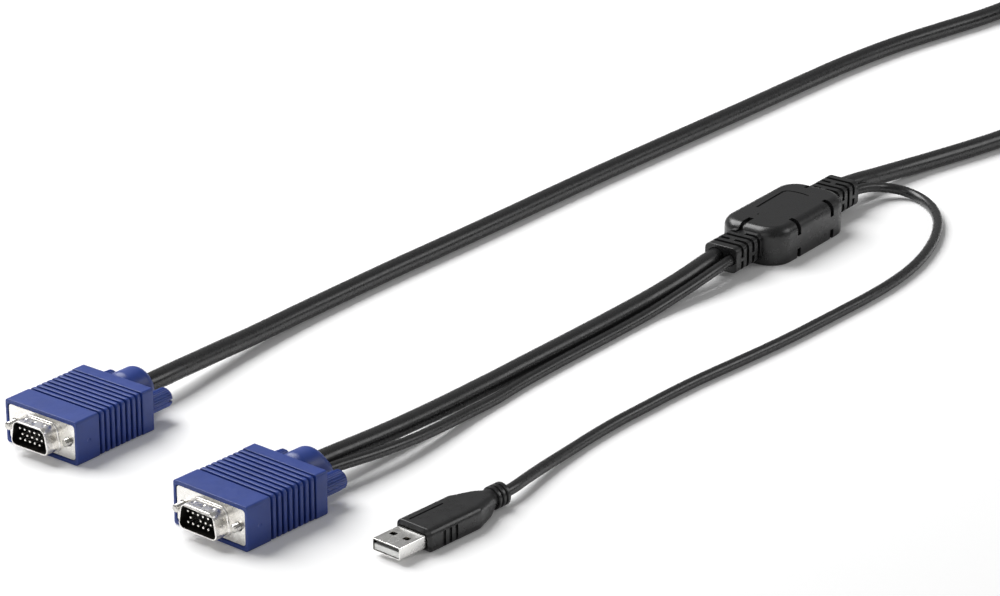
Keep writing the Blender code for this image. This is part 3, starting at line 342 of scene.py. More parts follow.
console_stretch = in_frame(console_lie, held(0.0281, 0.0507, 0.0, plug_axis)) + [
    (0.0540, 0.0001, 0.0080), (0.0630, 0.0007, 0.0077), (0.0754, 0.0021, 0.0068),
    (0.0900, 0.0037, 0.0058), (0.1037, 0.0050, 0.0049), (0.1180, 0.0062, 0.0043),
    (0.1336, 0.0073, 0.0039)
] + resting(
    video_rest, (0.1631, 0.0084), (0.1922, 0.0088), (0.2212, 0.0087), (0.2523, 0.0088),
    (0.2848, 0.0092), (0.3174, 0.0094), (0.3501, 0.0092), (0.3846, 0.0088), (0.4189, 0.0084),
    (0.4555, 0.0082), (0.4934, 0.0076), (0.5283, 0.0048), (0.5594, -0.0002), (0.5751, -0.0030),
    (0.5926, -0.0053), (0.6060, -0.0061), (0.6180, -0.0061))
junction_stretch = [
    (0.6200, -0.0989, 0.01055), (0.6120, -0.0990, 0.0096), (0.6055, -0.0991, 0.0084),
    (0.5940, -0.0993, 0.0067), (0.5820, -0.0996, 0.0052), (0.5690, -0.1000, 0.0042)
] + resting(
    video_rest, (0.5550, -0.1004), (0.5350, -0.1006), (0.5150, -0.1002), (0.4980, -0.0992),
    (0.4800, -0.0977), (0.4650, -0.0959), (0.4515, -0.0938), (0.4368, -0.0909),
    (0.4231, -0.0878)
) + [
    (0.4103, -0.0850, 0.0037), (0.3955, -0.0826, 0.0044), (0.3806, -0.0812, 0.0056),
    (0.3710, -0.0807, 0.0067)
] + in_frame(block_lie, held(0.0445, 0.0195, block_thick_y, block_axis))
main_cord = lay_cord("main_cord", console_stretch + coil_route + junction_stretch, video_cord)
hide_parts("console_cord_run", "cord_coil", "junction_cord_run")

video_branch = lay_cord("video_branch", in_frame(
    computer_lie, held(0.0281, 0.0507, computer_thick_y, plug_axis)) + [
    (0.0400, -0.0889, 0.0079), (0.0498, -0.0892, 0.0075), (0.0620, -0.0893, 0.0068),
    (0.0760, -0.0891, 0.0060), (0.0900, -0.0885, 0.0052), (0.1040, -0.0878, 0.0045),
    (0.1190, -0.0870, 0.0039)
] + resting(
    video_rest, (0.1331, -0.0865), (0.1478, -0.0862), (0.1624, -0.0860), (0.1771, -0.0858),
    (0.1924, -0.0855), (0.2085, -0.0850)
) + [
    (0.2245, -0.0847, 0.0038), (0.2409, -0.0850, 0.0050), (0.2500, -0.0853, 0.0061),
    (0.2590, -0.0852, 0.0071)
] + in_frame(block_lie, held(-0.0445, -0.0195, block_thick_y, block_axis)),
    video_cord)
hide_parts("video_branch_cord")

control_branch = lay_cord("control_branch", in_frame(
    computer_lie, held(0.0264, 0.0507, computer_thin_y, plug_axis)) + [
    (0.0440, -0.0966, 0.0074), (0.0536, -0.0975, 0.0066), (0.0660, -0.0981, 0.0057),
    (0.0782, -0.0979, 0.0047), (0.0930, -0.0969, 0.0036), (0.1080, -0.0955, 0.0026)
] + resting(
    thin_rest, (0.1230, -0.0946), (0.1389, -0.0932), (0.1542, -0.0924), (0.1696, -0.0919),
    (0.1857, -0.0916), (0.2026, -0.0912)
) + [
    (0.2193, -0.0909, 0.0024), (0.2340, -0.0911, 0.0038), (0.2470, -0.0916, 0.0055),
    (0.2575, -0.0918, 0.0069)
] + in_frame(block_lie, held(-0.0445, -0.0195, block_thin_y, block_axis)),
    thin_cord)
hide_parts("control_branch_cord")

usb_lead = lay_cord("usb_lead", in_frame(usb_lie, held(0.0310, 0.0560, 0.0, usb_axis)) + [
    (0.0675, -0.1470, 0.0040), (0.0750, -0.1457, 0.0037), (0.0885, -0.1434, 0.0029),
    (0.1050, -0.1413, 0.0022)
] + resting(
    thin_rest, (0.1203, -0.1399), (0.1357, -0.1393), (0.1505, -0.1394), (0.1649, -0.1395),
    (0.1793, -0.1400), (0.1928, -0.1410), (0.2065, -0.1421), (0.2205, -0.1431),
    (0.2354, -0.1438), (0.2515, -0.1441), (0.2673, -0.1443), (0.2834, -0.1444),
    (0.3015, -0.1434), (0.3180, -0.1410), (0.3338, -0.1368), (0.3500, -0.1304),
    (0.3648, -0.1218), (0.3755, -0.1118)
) + [
    (0.3807, -0.1020, 0.0023), (0.3800, -0.0945, 0.0034), (0.3750, -0.0896, 0.0048),
    (0.3680, -0.0875, 0.0065)
] + in_frame(block_lie, held(0.0445, 0.0195, block_thin_y, block_axis)), thin_cord)
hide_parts("usb_cord")


# The hoods.  Each is moulded over its plug in one shot of blue PVC: a plain band in front,
# eight ribs to hold it by, a plain band behind and a round boot that narrows onto the cord.
# The seat for the metal shell, the room for the plug's inside and the bores are cored out.
hood_length, hood_width, hood_height = 0.0377, 0.0336, 0.0161
hood_middle = hood_height / 2
front_band, rear_band = 0.0110, 0.03228
rib_count, rib_pitch, rib_width = 8, 0.00256, 0.00156
groove_depth = 0.0012
boot_length, boot_wide, boot_tall, boot_mouth = 0.0130, 0.0076, 0.0083, 0.0047
boot_waist, boot_rise, boot_full = 0.87, 0.20, 0.65
seat_across, seat_up, seat_depth = 0.01575, 0.00665, 0.0021
room_across, room_up, room_end = 0.0102, 0.0063, 0.0264
screw_y, screw_clearance = 0.0125, 0.00175
blue = plastic("blue_pvc_satin", (0.018, 0.046, 0.240), 0.40, 5200.0, 0.00002, 0.45)


def alone(piece):
    """Only this piece selected, and active."""
    bpy.ops.object.select_all(action="DESELECT")
    piece.select_set(True)
    bpy.context.view_layer.objects.active = piece


def named(name):
    """The primitive just added, with its name and with its place in its mesh."""
    piece = bpy.context.object
    piece.name = name
    alone(piece)
    bpy.ops.object.transform_apply(location=True, rotation=True, scale=True)
    return piece


def box(name, low, high):
    """A block between two corners."""
    bpy.ops.object.select_all(action="DESELECT")
    bpy.ops.mesh.primitive_cube_add(
        size=1.0, location=[(a + b) / 2 for a, b in zip(low, high)],
        scale=[b - a for a, b in zip(low, high)])
    return named(name)


def slab(name, start, end, across, middle, up):
    """A block along X with its middle at this height."""
    return box(name, (start, -across, middle - up), (end, across, middle + up))


def rod(name, start, end, radius, y, z, sides=32):
    """A round bar along X."""
    bpy.ops.object.select_all(action="DESELECT")
    bpy.ops.mesh.primitive_cylinder_add(
        vertices=sides, radius=radius, depth=end - start, location=((start + end) / 2, y, z),
        rotation=(0.0, math.pi / 2, 0.0))
    return named(name)


def ball(name, middle, size):
    """An ellipsoid, to press a dimple with."""
    bpy.ops.object.select_all(action="DESELECT")
    bpy.ops.mesh.primitive_uv_sphere_add(segments=24, ring_count=12, radius=1.0,
                                         location=middle, scale=size)
    return named(name)


def pick(piece, kind, test):
    """Edit mode, with the edges or faces that pass a test on their middle and direction."""
    alone(piece)
    bpy.context.tool_settings.mesh_select_mode = (False, kind == "EDGE", kind == "FACE")
    bpy.ops.object.mode_set(mode="EDIT")
    bpy.ops.mesh.select_all(action="DESELECT")
    shape = bmesh.from_edit_mesh(piece.data)
    if kind == "EDGE":
        for edge in shape.edges:
            first, last = (corner.co for corner in edge.verts)
            edge.select_set(test((first + last) / 2, (last - first).normalized()))
    else:
        for face in shape.faces:
            face.select_set(test(face.calc_center_median(), face.normal))
    shape.select_flush_mode()
    bmesh.update_edit_mesh(piece.data)


def done():
    bpy.ops.object.mode_set(mode="OBJECT")


def round_edges(piece, radius, segments, test):
    """Rounds the edges that pass a test."""
    pick(piece, "EDGE", test)
    bpy.ops.mesh.bevel(offset=radius, segments=segments, profile=0.5, affect="EDGES")
    done()


def lengthwise(middle, way):
    return abs(way.x) > 0.9


def crosswise(middle, way):
    return abs(way.x) < 0.01


def upright(middle, way):
    return abs(way.z) > 0.9


def combine(piece, other, operation):
    """Moulds another solid onto a piece, or cuts it out of it."""
    step = piece.modifiers.new("joint", "BOOLEAN")
    step.operation = operation
    step.solver = "EXACT"
    step.object = other
    alone(piece)
    bpy.ops.object.modifier_apply(modifier=step.name)
    bpy.data.objects.remove(other, do_unlink=True)


def cut(piece, other):
    combine(piece, other, "DIFFERENCE")


def join(piece, other):
    combine(piece, other, "UNION")


def gather(name, pieces):
    """Several bodies as one object."""
    bpy.ops.object.select_all(action="DESELECT")
    for piece in pieces:
        piece.select_set(True)
    bpy.context.view_layer.objects.active = pieces[0]
    if len(pieces) > 1:
        bpy.ops.object.join()
    pieces[0].name = name
    return pieces[0]


def again(piece, offset):
    """A copy with its own mesh, moved."""
    made = piece.copy()
    made.data = piece.data.copy()
    made.data.transform(Matrix.Translation(offset))
    bpy.context.collection.objects.link(made)
    return made


def drawn(name, stations, sides, middle):
    """A form drawn out along X: a disc, extruded from station to station and resized."""
    first_x, across, up = stations[0]
    y, z = middle
    bpy.ops.object.select_all(action="DESELECT")
    bpy.ops.mesh.primitive_circle_add(vertices=sides, radius=1.0, fill_type="NGON",
                                      location=(first_x, y, z), rotation=(0.0, math.pi / 2, 0.0))
    piece = named(name)
    bpy.context.tool_settings.mesh_select_mode = (False, False, True)
    bpy.ops.object.mode_set(mode="EDIT")
    bpy.ops.mesh.select_all(action="SELECT")
    bpy.ops.transform.resize(value=(1.0, across, up), center_override=(first_x, y, z))
    last_x = first_x
    for x, next_across, next_up in stations[1:]:
        bpy.ops.mesh.extrude_region_move(TRANSFORM_OT_translate={"value": (x - last_x, 0.0, 0.0)})
        bpy.ops.transform.resize(value=(1.0, next_across / across, next_up / up),
                                 center_override=(x, y, z))
        last_x, across, up = x, next_across, next_up
    bpy.ops.mesh.select_all(action="SELECT")
    bpy.ops.mesh.normals_make_consistent(inside=False)
    done()
    return piece


def coat(piece, material, angle=35):
    """One material all over, with soft shading on round faces."""
    piece.data.materials.clear()
    piece.data.materials.append(material)
    alone(piece)
    bpy.ops.object.shade_smooth_by_angle(angle=math.radians(angle))
    step = piece.modifiers.new("even_faces", "WEIGHTED_NORMAL")
    step.keep_sharp = True
    bpy.ops.object.modifier_apply(modifier=step.name)


def dress(material, *names):
    """The same material on CAD nodes that stay as they are."""
    for name in names:
        for slot in nodes[name].material_slots:
            slot.material = material


def boot_radius(share, full, mouth):
    """The boot swells from its waist, stays full and narrows to its mouth."""
    before = max(0.0, 1 - share / boot_rise)
    beyond = max(0.0, share - boot_full) / (1 - boot_full)
    swell = 1 - (1 - boot_waist ** 2) * before ** 2
    return math.sqrt(full ** 2 * swell - (full ** 2 - mouth ** 2) * beyond ** 2)


def hood_blank(rear):
    """The hood's outside: core, bands and ribs, joined, and the boot drawn out behind."""
    side = hood_width / 2
    core = box("hood_core", (0.0008, groove_depth - side, groove_depth),
               (hood_length - 0.0008, side - groove_depth, hood_height - groove_depth))
    round_edges(core, 0.0014, 4, lengthwise)
    bands = []
    for start, end in ((0.0, front_band), (rear_band, hood_length)):
        band = box("band", (start, -side, 0.0), (end, side, hood_height))
        round_edges(band, 0.0010, 4, lengthwise)
        round_edges(band, 0.00028, 2, crosswise)
        bands.append(band)
    first = front_band + rib_pitch - rib_width
    rib = box("rib", (first, -side, 0.0), (first + rib_width, side, hood_height))
    round_edges(rib, 0.0014, 5, lengthwise)
    round_edges(rib, 0.00034, 3, crosswise)
    ribs = [rib] + [again(rib, (index * rib_pitch, 0.0, 0.0)) for index in range(1, rib_count)]
    join(core, gather("bands", bands + ribs))
    stations = [(hood_length - 0.0010, boot_wide * boot_waist, boot_tall * boot_waist)]
    for step in range(25):
        share = step / 24
        stations.append((hood_length + share * (boot_length - 0.00025),
                         boot_radius(share, boot_wide, rear),
                         boot_radius(share, boot_tall, boot_mouth)))
    stations.append((hood_length + boot_length - 0.00008, rear - 0.00007, boot_mouth - 0.00007))
    stations.append((hood_length + boot_length, rear - 0.00025, boot_mouth - 0.00025))
    boot = drawn("boot", stations, 48, (0.0, hood_middle))
    for corner in boot.data.vertices:
        share = min(max((corner.co.x - hood_length) / boot_length, 0.0), 1.0)
        tall = boot_radius(share, boot_tall, boot_mouth)
        corner.co.z += (boot_tall - hood_middle) * (tall - boot_mouth) / (boot_tall - boot_mouth)
    join(core, boot)
    return core


def make_hood(name, thick_y, thin_y, mouth_across):
    hood = hood_blank(mouth_across)
    recess = slab("recess", -0.001, seat_depth, seat_across, hood_middle, seat_up)
    round_edges(recess, 0.0013, 4, lengthwise)
    room = slab("room", 0.0015, room_end, room_across, hood_middle, room_up)
    round_edges(room, 0.0009, 3, lengthwise)
    join(recess, room)
    join(recess, rod("chamber", 0.0255, 0.0335, 0.00455, thick_y, hood_middle))
    join(recess, rod("cord_bore", 0.0330, 0.0520, thick_bore, thick_y, hood_middle, 40))
    if thin_y is not None:
        join(recess, rod("thin_bore", 0.0255, 0.0520, thin_bore, thin_y, hood_middle))
    cut(hood, recess)
    for y in (screw_y, -screw_y):
        cut(hood, rod("screw_bore", -0.001, hood_length + 0.001, screw_clearance, y, hood_middle))
        across = math.copysign(hood_width / 2, y)
        cut(hood, ball("gate_mark", (0.0058, across * 1.008, 0.0079), (0.0011, 0.00030, 0.0008)))
    hood.name = name
    coat(hood, blue)
    return hood


for name, lie, thick_y, thin_y, mouth in (
        ("console", console_lie, 0.0, None, boot_mouth),
        ("computer", computer_lie, computer_thick_y, computer_thin_y, 0.00725)):
    hood = make_hood(name + "_blue_hood", thick_y, thin_y, mouth)
    hood.data.transform(lie)
    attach(hood, "cable")
    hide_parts(name + "_hood")


# The metal shells.  Each front shell is pressed from nickel-plated steel: a flange with the
# screw holes, and a D-shaped shroud drawn out of it with a rolled rim and small grip dimples.
# The rear shell behind it is hidden in the hood, and so are the crimped ferrules.
shroud_reach, shroud_wide, shroud_tall = 0.0060, 0.0179, 0.0094
shroud_wall, shroud_corner = 0.0005, 0.0024
flange_front, flange_rear, flange_across, flange_up = 0.0003, 0.0009, 0.01545, 0.00635

# Plated or bare metal: long faint marks from the press and the rolls, duller patches, and
# long darker streaks of painted reflection that stand in for darker surroundings mirrored in it.
metal_skin, taken, given, where = new_skin("metal_skin", (
    ("Colour", (0.8, 0.78, 0.74, 1.0)), ("Shade", (0.4, 0.38, 0.34, 1.0)),
    ("Roughness", 0.25)))
link = metal_skin.links.new
stretch = metal_skin.nodes.new("ShaderNodeMapping")
stretch.inputs["Scale"].default_value = (0.35, 1.0, 1.0)
link(where, stretch.inputs["Vector"])
painted_reflection_streaks = noise_node(metal_skin, stretch.outputs["Vector"], 300.0, 3.0)
# painted reflection: the colour runs in long streaks from the dark colour to the plain one
blend = metal_skin.nodes.new("ShaderNodeMix")
blend.data_type = "RGBA"
link(spread_node(metal_skin, painted_reflection_streaks, 0.0, 1.0), blend.inputs["Factor"])
link(taken["Shade"], blend.inputs["A"])
link(taken["Colour"], blend.inputs["B"])
link(blend.outputs["Result"], given["Colour"])
smear = spread_node(metal_skin, noise_node(metal_skin, where, 500.0, 3.0), -0.04, 0.05)
link(math_node(metal_skin, "ADD", taken["Roughness"], smear), given["Roughness"])
link(noise_node(metal_skin, stretch.outputs["Vector"], 5200.0, 2.0), given["Height"])


def metal(name, colour, painted_reflection_dark, roughness, depth):
    """A metal with that skin."""
    made, shader = with_skin(name, metal_skin, 0.2, depth, Colour=(*colour, 1.0),
                             Shade=(*painted_reflection_dark, 1.0), Roughness=roughness)
    shader["Metallic"].default_value = 1.0
    return made


nickel = metal("nickel_plating", (0.97, 0.95, 0.92), (0.84, 0.82, 0.78), 0.27, 0.000008)
# painted shade: a near-black nickel for the inner walls of the mouths, where shade falls
painted_shade_nickel = metal("painted_shade_inner_nickel", (0.060, 0.058, 0.052), (0.030, 0.029, 0.026), 0.55,
                    0.00001)


def line_inside(piece, middle, start, across=1.0, up=1.0):
    """Dark painted shade on the faces behind start that look at the axis, if they lie near it."""
    piece.data.materials.append(painted_shade_nickel)
    for face in piece.data.polygons:
        x, y, z = face.center
        inward = y * face.normal.y + (z - middle) * face.normal.z < 0
        if (x > start and abs(face.normal.x) < 0.3 and inward
                and abs(y) < across and abs(z - middle) < up):
            face.material_index = 1


def d_bar(name, start, end, grow):
    """A bar of the plug's D section, its narrow side up, grown on every side."""
    wide = shroud_wide / 2 + grow * 1.17
    tall = shroud_tall / 2 + grow
    narrow = wide - 2 * tall * math.tan(math.radians(10))
    bar = slab(name, start, end, wide, hood_middle, tall)
    pick(bar, "FACE", lambda middle, way: way.z > 0.9)
    bpy.ops.transform.resize(value=(1.0, narrow / wide, 1.0),
                             center_override=(start, 0.0, hood_middle + tall))
    done()
    round_edges(bar, shroud_corner + grow, 6, lengthwise)
    return bar


def make_front_shell(name):
    inner_wide, inner_tall = shroud_wide / 2 - shroud_wall, shroud_tall / 2 - shroud_wall
    shell = d_bar(name, -shroud_reach, flange_rear, 0.0)
    round_edges(shell, 0.00022, 3, lambda middle, way: middle.x < 0.00001 - shroud_reach)
    step = d_bar("step", -0.00045, flange_rear - 0.0002, 0.0005)
    round_edges(step, 0.00042, 3, lambda middle, way: middle.x < -0.00044)
    join(shell, step)
    flange = slab("flange", flange_front, flange_rear, flange_across, hood_middle, flange_up)
    round_edges(flange, 0.0012, 4, lengthwise)
    round_edges(flange, 0.00012, 2, lambda middle, way: middle.x < flange_front + 0.00001)
    join(shell, flange)
    mouth = d_bar("mouth", -0.0070, 0.0020, -shroud_wall)
    cut(shell, mouth)
    round_edges(shell, 0.00012, 2, lambda middle, way: middle.x < 0.00001 - shroud_reach
                and abs(middle.z - hood_middle) < inner_tall + 0.00005
                and abs(middle.y) < inner_wide + 0.00005)
    for y in (screw_y, -screw_y):
        cut(shell, rod("screw_hole", -0.001, 0.002, 0.00172, y, hood_middle))
    for y in (-0.0044, 0.0, 0.0044):
        for z in (hood_middle + shroud_tall / 2, hood_middle - shroud_tall / 2):
            cut(shell, ball("dimple", (-0.0031, y, z), (0.0010, 0.0006, 0.00020)))
    coat(shell, nickel, 30)
    # the shroud's inner walls get the painted shade
    line_inside(shell, hood_middle, 0.0002 - shroud_reach, inner_wide + 0.0001,
                inner_tall + 0.0001)
    return shell


for name, lie in (("console", console_lie), ("computer", computer_lie)):
    shell = make_front_shell(name + "_drawn_shell")
    shell.data.transform(lie)
    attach(shell, "cable")
    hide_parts(name + "_front_shell")
    dress(nickel, name + "_rear_shell", name + "_ferrule")


# The contact blocks.  A black nylon block fills each shroud, and turned pins with rounded
# tips are pressed through it in three rows of five; the computer plug leaves one out.  The
# clear inner mould and the cord's bare conductors are sealed behind them.
pin_pitch, row_pitch, pin_radius = 0.00229, 0.00198, 0.00047
nylon = plastic("black_nylon_block", (0.011, 0.011, 0.012), 0.50, 7000.0, 0.00002)
pin_plating = metal("bright_pin_plating", (0.96, 0.95, 0.91), (0.82, 0.80, 0.74), 0.18, 0.000004)
clear_pe = plastic("natural_polyethylene", (0.62, 0.61, 0.55), 0.48, 4000.0, 0.00003)
bare_copper = metal("bare_copper", (0.86, 0.44, 0.26), (0.55, 0.26, 0.15), 0.30, 0.00001)


def make_pins(name, left_out):
    first = rod("pin", -0.0051, 0.0096, pin_radius, 0.0, hood_middle, 16)
    round_edges(first, 0.00024, 3, crosswise)
    pins = []
    for row in range(3):
        shift = -pin_pitch / 4 if row == 1 else pin_pitch / 4
        for column in range(5):
            if (row, column) != left_out:
                pins.append(again(first, (0.0, (2 - column) * pin_pitch + shift,
                                          (1 - row) * row_pitch)))
    bpy.data.objects.remove(first, do_unlink=True)
    made = gather(name, pins)
    coat(made, pin_plating)
    return made


for name, lie, left_out in (("console", console_lie, None),
                            ("computer", computer_lie, (1, 1))):
    block = d_bar(name + "_contact_block", -0.0006, 0.0085, -shroud_wall - 0.0003)
    round_edges(block, 0.00015, 2, crosswise)
    coat(block, nylon)
    pins = make_pins(name + "_pins", left_out)
    for piece, finish in ((block, "black_nylon"), (pins, "nickel")):
        piece.data.transform(lie)
        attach(piece, "cable")
        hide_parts(name + "_pin_insert")
    dress(clear_pe, name + "_inner_mould")
    dress(bare_copper, name + "_cord_core")


# The thumbscrews.  A long steel jack screw runs loose through each side of a hood, and a
# fluted blue knob with a screwdriver slot is moulded on its rear end, so the two turn as one.
thread_end, knob_front, knob_end = 0.0060, 0.0382, 0.0485
thread_pitch, thread_radius, thread_depth, shank_radius = 0.000635, 0.00142, 0.17, 0.0011
knob_radius, knob_edge, knob_face, flute_count, flute_depth = 0.0036, 0.0034, 0.0030, 28, 0.062
screw_steel = metal("screw_steel", (0.78, 0.76, 0.72), (0.46, 0.45, 0.42), 0.26, 0.00001)


def make_screw(name, y, screw_tip):
    """A bar with a station every fifth of a pitch, whose thread is then wound into it."""
    stations = [(screw_tip, thread_radius * 0.62, thread_radius * 0.62)]
    x = screw_tip + 0.00035
    while x < thread_end:
        stations.append((x, thread_radius, thread_radius))
        x += thread_pitch / 5
    for x, radius in ((thread_end + 0.0005, shank_radius), (knob_front - 0.0005, shank_radius),
                      (knob_front, thread_radius), (0.0437, thread_radius)):
        stations.append((x, radius, radius))
    screw = drawn(name, stations, 20, (y, hood_middle))
    for corner in screw.data.vertices:
        across, up = corner.co.y - y, corner.co.z - hood_middle
        if screw_tip + 0.0001 < corner.co.x < thread_end + 0.0001:
            turn = math.atan2(up, across) / (2 * math.pi)
            share = ((corner.co.x / thread_pitch) - turn) % 1.0
            depth = 1.0 - thread_depth * (1.0 - abs(2.0 * share - 1.0))
            corner.co.y, corner.co.z = y + across * depth, hood_middle + up * depth
    coat(screw, screw_steel, 25)
    return screw


def make_knob(name, y, slot_turn):
    outline = ((knob_front, knob_face), (knob_front + 0.0003, knob_edge),
               (knob_front + 0.0008, knob_radius), (knob_end - 0.0008, knob_radius),
               (knob_end - 0.0003, knob_edge), (knob_end, knob_face))
    knob = drawn(name, [(x, radius, radius) for x, radius in outline],
                 4 * flute_count, (y, hood_middle))
    for corner in knob.data.vertices:
        across, up = corner.co.y - y, corner.co.z - hood_middle
        reach = math.hypot(across, up)
        if reach > 0.0033:
            wave = 0.5 - 0.5 * math.cos(flute_count * math.atan2(up, across))
            depth = 1.0 - flute_depth * wave
            corner.co.y, corner.co.z = y + across * depth, hood_middle + up * depth
    slot = box("slot", (knob_end - 0.0022, y - 0.005, hood_middle - 0.0006),
               (knob_end + 0.001, y + 0.005, hood_middle + 0.0006))
    slot.data.transform(Matrix.Translation((0.0, y, hood_middle))
                        @ Matrix.Rotation(slot_turn, 4, "X")
                        @ Matrix.Translation((0.0, -y, -hood_middle)))
    cut(knob, slot)
    cut(knob, rod("knob_bore", knob_front - 0.001, 0.0440, 0.00165, y, hood_middle))
    coat(knob, blue, 40)
    return knob


# the screws sit loose in the hoods, so no two reach equally far
for plug, lie, turns, tips in (
        ("console", console_lie, (0.99, 0.12), (-0.0040, -0.0017)),
        ("computer", computer_lie, (0.99, 0.99), (-0.0039, -0.0024))):
    for side, y, slot_turn, tip in (("left", screw_y, turns[0], tips[0]),
                                    ("right", -screw_y, turns[1], tips[1])):
        name = plug + "_" + side
        screw = make_screw(name + "_jack_screw", y, tip)
        knob = make_knob(name + "_thumb_knob", y, slot_turn)
        for piece, finish, node in ((screw, "screw_steel", "_screw"), (knob, "blue_pvc", "_knob")):
            piece.data.transform(lie)
            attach(piece, name + "_thumbscrew")
            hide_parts(name + node)


# The junction block.  One black PVC moulding with soft shoulders and a ribbed relief at each
# end, shot over a clear inner mould that holds five spliced wires in their sleeves.  Short
# slots show where the tool's pins held the inner mould, and a line marks a panel on its top.
block_length, block_width, block_height = 0.0530, 0.0284, 0.0150
block_middle = block_height / 2
relief_end, relief_width, relief_height = 0.0445, 0.0144, 0.0102
first_groove, groove_pitch, groove_width = 0.0026, 0.0038, 0.0017
side_cut, top_cut, slot_half = 0.0010, 0.0011, 0.0012
black = plastic("black_pvc_moulding", (0.011, 0.011, 0.0115), 0.30, 3000.0, 0.000012)


def block_blank(name, less):
    """The block without its reliefs, smaller by less on every side."""
    ends, side = block_length / 2 - less, block_width / 2 - less
    body = box(name, (-ends, -side, less), (ends, side, block_height - less))
    round_edges(body, 0.0095 - less, 10, upright)
    round_edges(body, 0.0039 - less / 2, 6,
                lambda middle, way: middle.z > block_height - less - 0.00001)
    round_edges(body, 0.0008, 3, lambda middle, way: middle.z < less + 0.00001)
    return body


def relief_grooves(end):
    """Cutters for the four grooves of one relief; the first and third from the cord are
    bridged at mid height on the sides, the other two in the middle of the top."""
    side, top = relief_width / 2, block_middle + relief_height / 2
    low = block_middle - relief_height / 2
    cutters = []
    for index in range(4):
        start = block_length / 2 + first_groove - groove_width / 2 + index * groove_pitch
        inner, outer = sorted((end * start, end * (start + groove_width)))
        bridged_sides = index in (3, 1)
        bands = [(low - 0.001, top + 0.001)]
        if bridged_sides:
            bands = [(low - 0.001, block_middle - 0.0009), (block_middle + 0.0004, top + 0.001)]
        for hand in (-1, 1):
            for bottom, upper in bands:
                a, b = sorted((hand * (side - side_cut), hand * (side + 0.001)))
                cutters.append(box("side_groove", (inner, a, bottom), (outer, b, upper)))
        tops = [(-side - 0.001, side + 0.001)]
        if not bridged_sides:
            tops = [(-side - 0.001, -0.0011), (0.0011, side + 0.001)]
        for a, b in tops:
            cutters.append(box("top_groove", (inner, a, top - top_cut), (outer, b, top + 0.001)))
            cutters.append(box("low_groove", (inner, a, low - 0.001), (outer, b, low + top_cut)))
    return cutters


overmould = block_blank("junction_black_block", 0.0)
for end in (-1, 1):
    a, b = sorted((end * 0.0200, end * relief_end))
    relief = slab("relief", a, b, relief_width / 2, block_middle, relief_height / 2)
    round_edges(relief, 0.0023, 5, lengthwise)
    round_edges(relief, 0.00035, 3, crosswise)
    for cutter in relief_grooves(end):
        cut(relief, cutter)
    join(overmould, relief)

# slots in the near shoulder and foot, a slot at each end, the panel's line and two pin marks
marks = []
for x in (-0.0112, 0.0128):
    marks.append(box("shoulder_slot", (x - slot_half, -0.0160, 0.0094),
                     (x + slot_half, -0.0098, 0.0160)))
    marks.append(box("foot_slot", (x - slot_half, -0.0160, -0.001),
                     (x + slot_half, -0.0125, 0.0040)))
marks.append(box("end_slot", (-0.0300, 0.0016, 0.0120), (-0.0188, 0.0038, 0.0160)))
marks.append(box("end_slot", (0.0205, 0.0022, 0.0120), (0.0300, 0.0036, 0.0160)))
inset = block_blank("inset", 0.0012)
for mark in marks:
    cut(mark, again(inset, (0.0, 0.0, 0.0)))
    cut(overmould, mark)
bpy.data.objects.remove(inset, do_unlink=True)
line_points = [(-0.0079, 0.0071), (0.0020, 0.0074), (0.0118, 0.0077), (0.0133, 0.0071),
               (0.0141, 0.0058), (0.0145, 0.0035), (0.0145, 0.0010), (0.0142, -0.0012),
               (0.0136, -0.0027)]
for index, (here, there) in enumerate(zip(line_points, line_points[1:])):
    first, last = Vector((*here, 0.0)), Vector((*there, 0.0))
    length = (last - first).length
    wide = 0.00048 if index < 3 else 0.00038
    stroke = box("panel_line", (-0.0001, -wide, block_height - 0.00045),
                 (length + 0.0001, wide, block_height + 0.001))
    heading = math.atan2(last.y - first.y, last.x - first.x)
    stroke.data.transform(Matrix.Translation(first) @ Matrix.Rotation(heading, 4, "Z"))
    cut(overmould, stroke)
for x, y in ((-0.0140, 0.0028), (0.0216, 0.0028)):
    cut(overmould, ball("pin_mark", (x, y, block_height), (0.00065, 0.00045, 0.0005)))
cut(overmould, box("inner_room", (-0.0195, -0.0097, 0.0027), (0.0195, 0.0097, 0.0123)))
for end in (-1, 1):
    a, b = sorted((end * 0.0190, end * 0.0460))
    cut(overmould, rod("thick_bore", a, b, thick_bore, block_thick_y, block_middle, 40))
    cut(overmould, rod("thin_bore", a, b, thin_bore, block_thin_y, block_middle))
coat(overmould, black, 32)
overmould.data.transform(block_lie)
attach(overmould, "cable")
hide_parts("junction_overmould")

dress(clear_pe, "junction_inner_mould")
dress(bare_copper, *["junction_wire_" + str(number) for number in range(1, 6)])
dress(nickel, *["junction_splice_" + str(number) for number in range(1, 6)])


# The USB plug's metal end.  A nickel-plated shell is folded to a flat tube with two latch
# windows above and two below; inside lie the white tongue and its four gold contacts.
usb_wide, usb_tall, usb_shell_end, usb_wall = 0.0120, 0.0045, 0.0185, 0.00035
usb_middle = usb_axis
window_front, window_rear, window_half = 0.00555, 0.00765, 0.00115
tongue_gap, tongue_low, tongue_top, contact_half = 0.00015, 0.00008, 0.00223, 0.00065
usb_nickel = metal("usb_shell_plating", (0.97, 0.96, 0.94), (0.89, 0.88, 0.85), 0.24, 0.000006)
gold = metal("gold_flash", (0.95, 0.76, 0.36), (0.80, 0.58, 0.22), 0.22, 0.000005)
white = plastic("white_tongue", (0.90, 0.90, 0.87), 0.38, 6000.0, 0.00001)

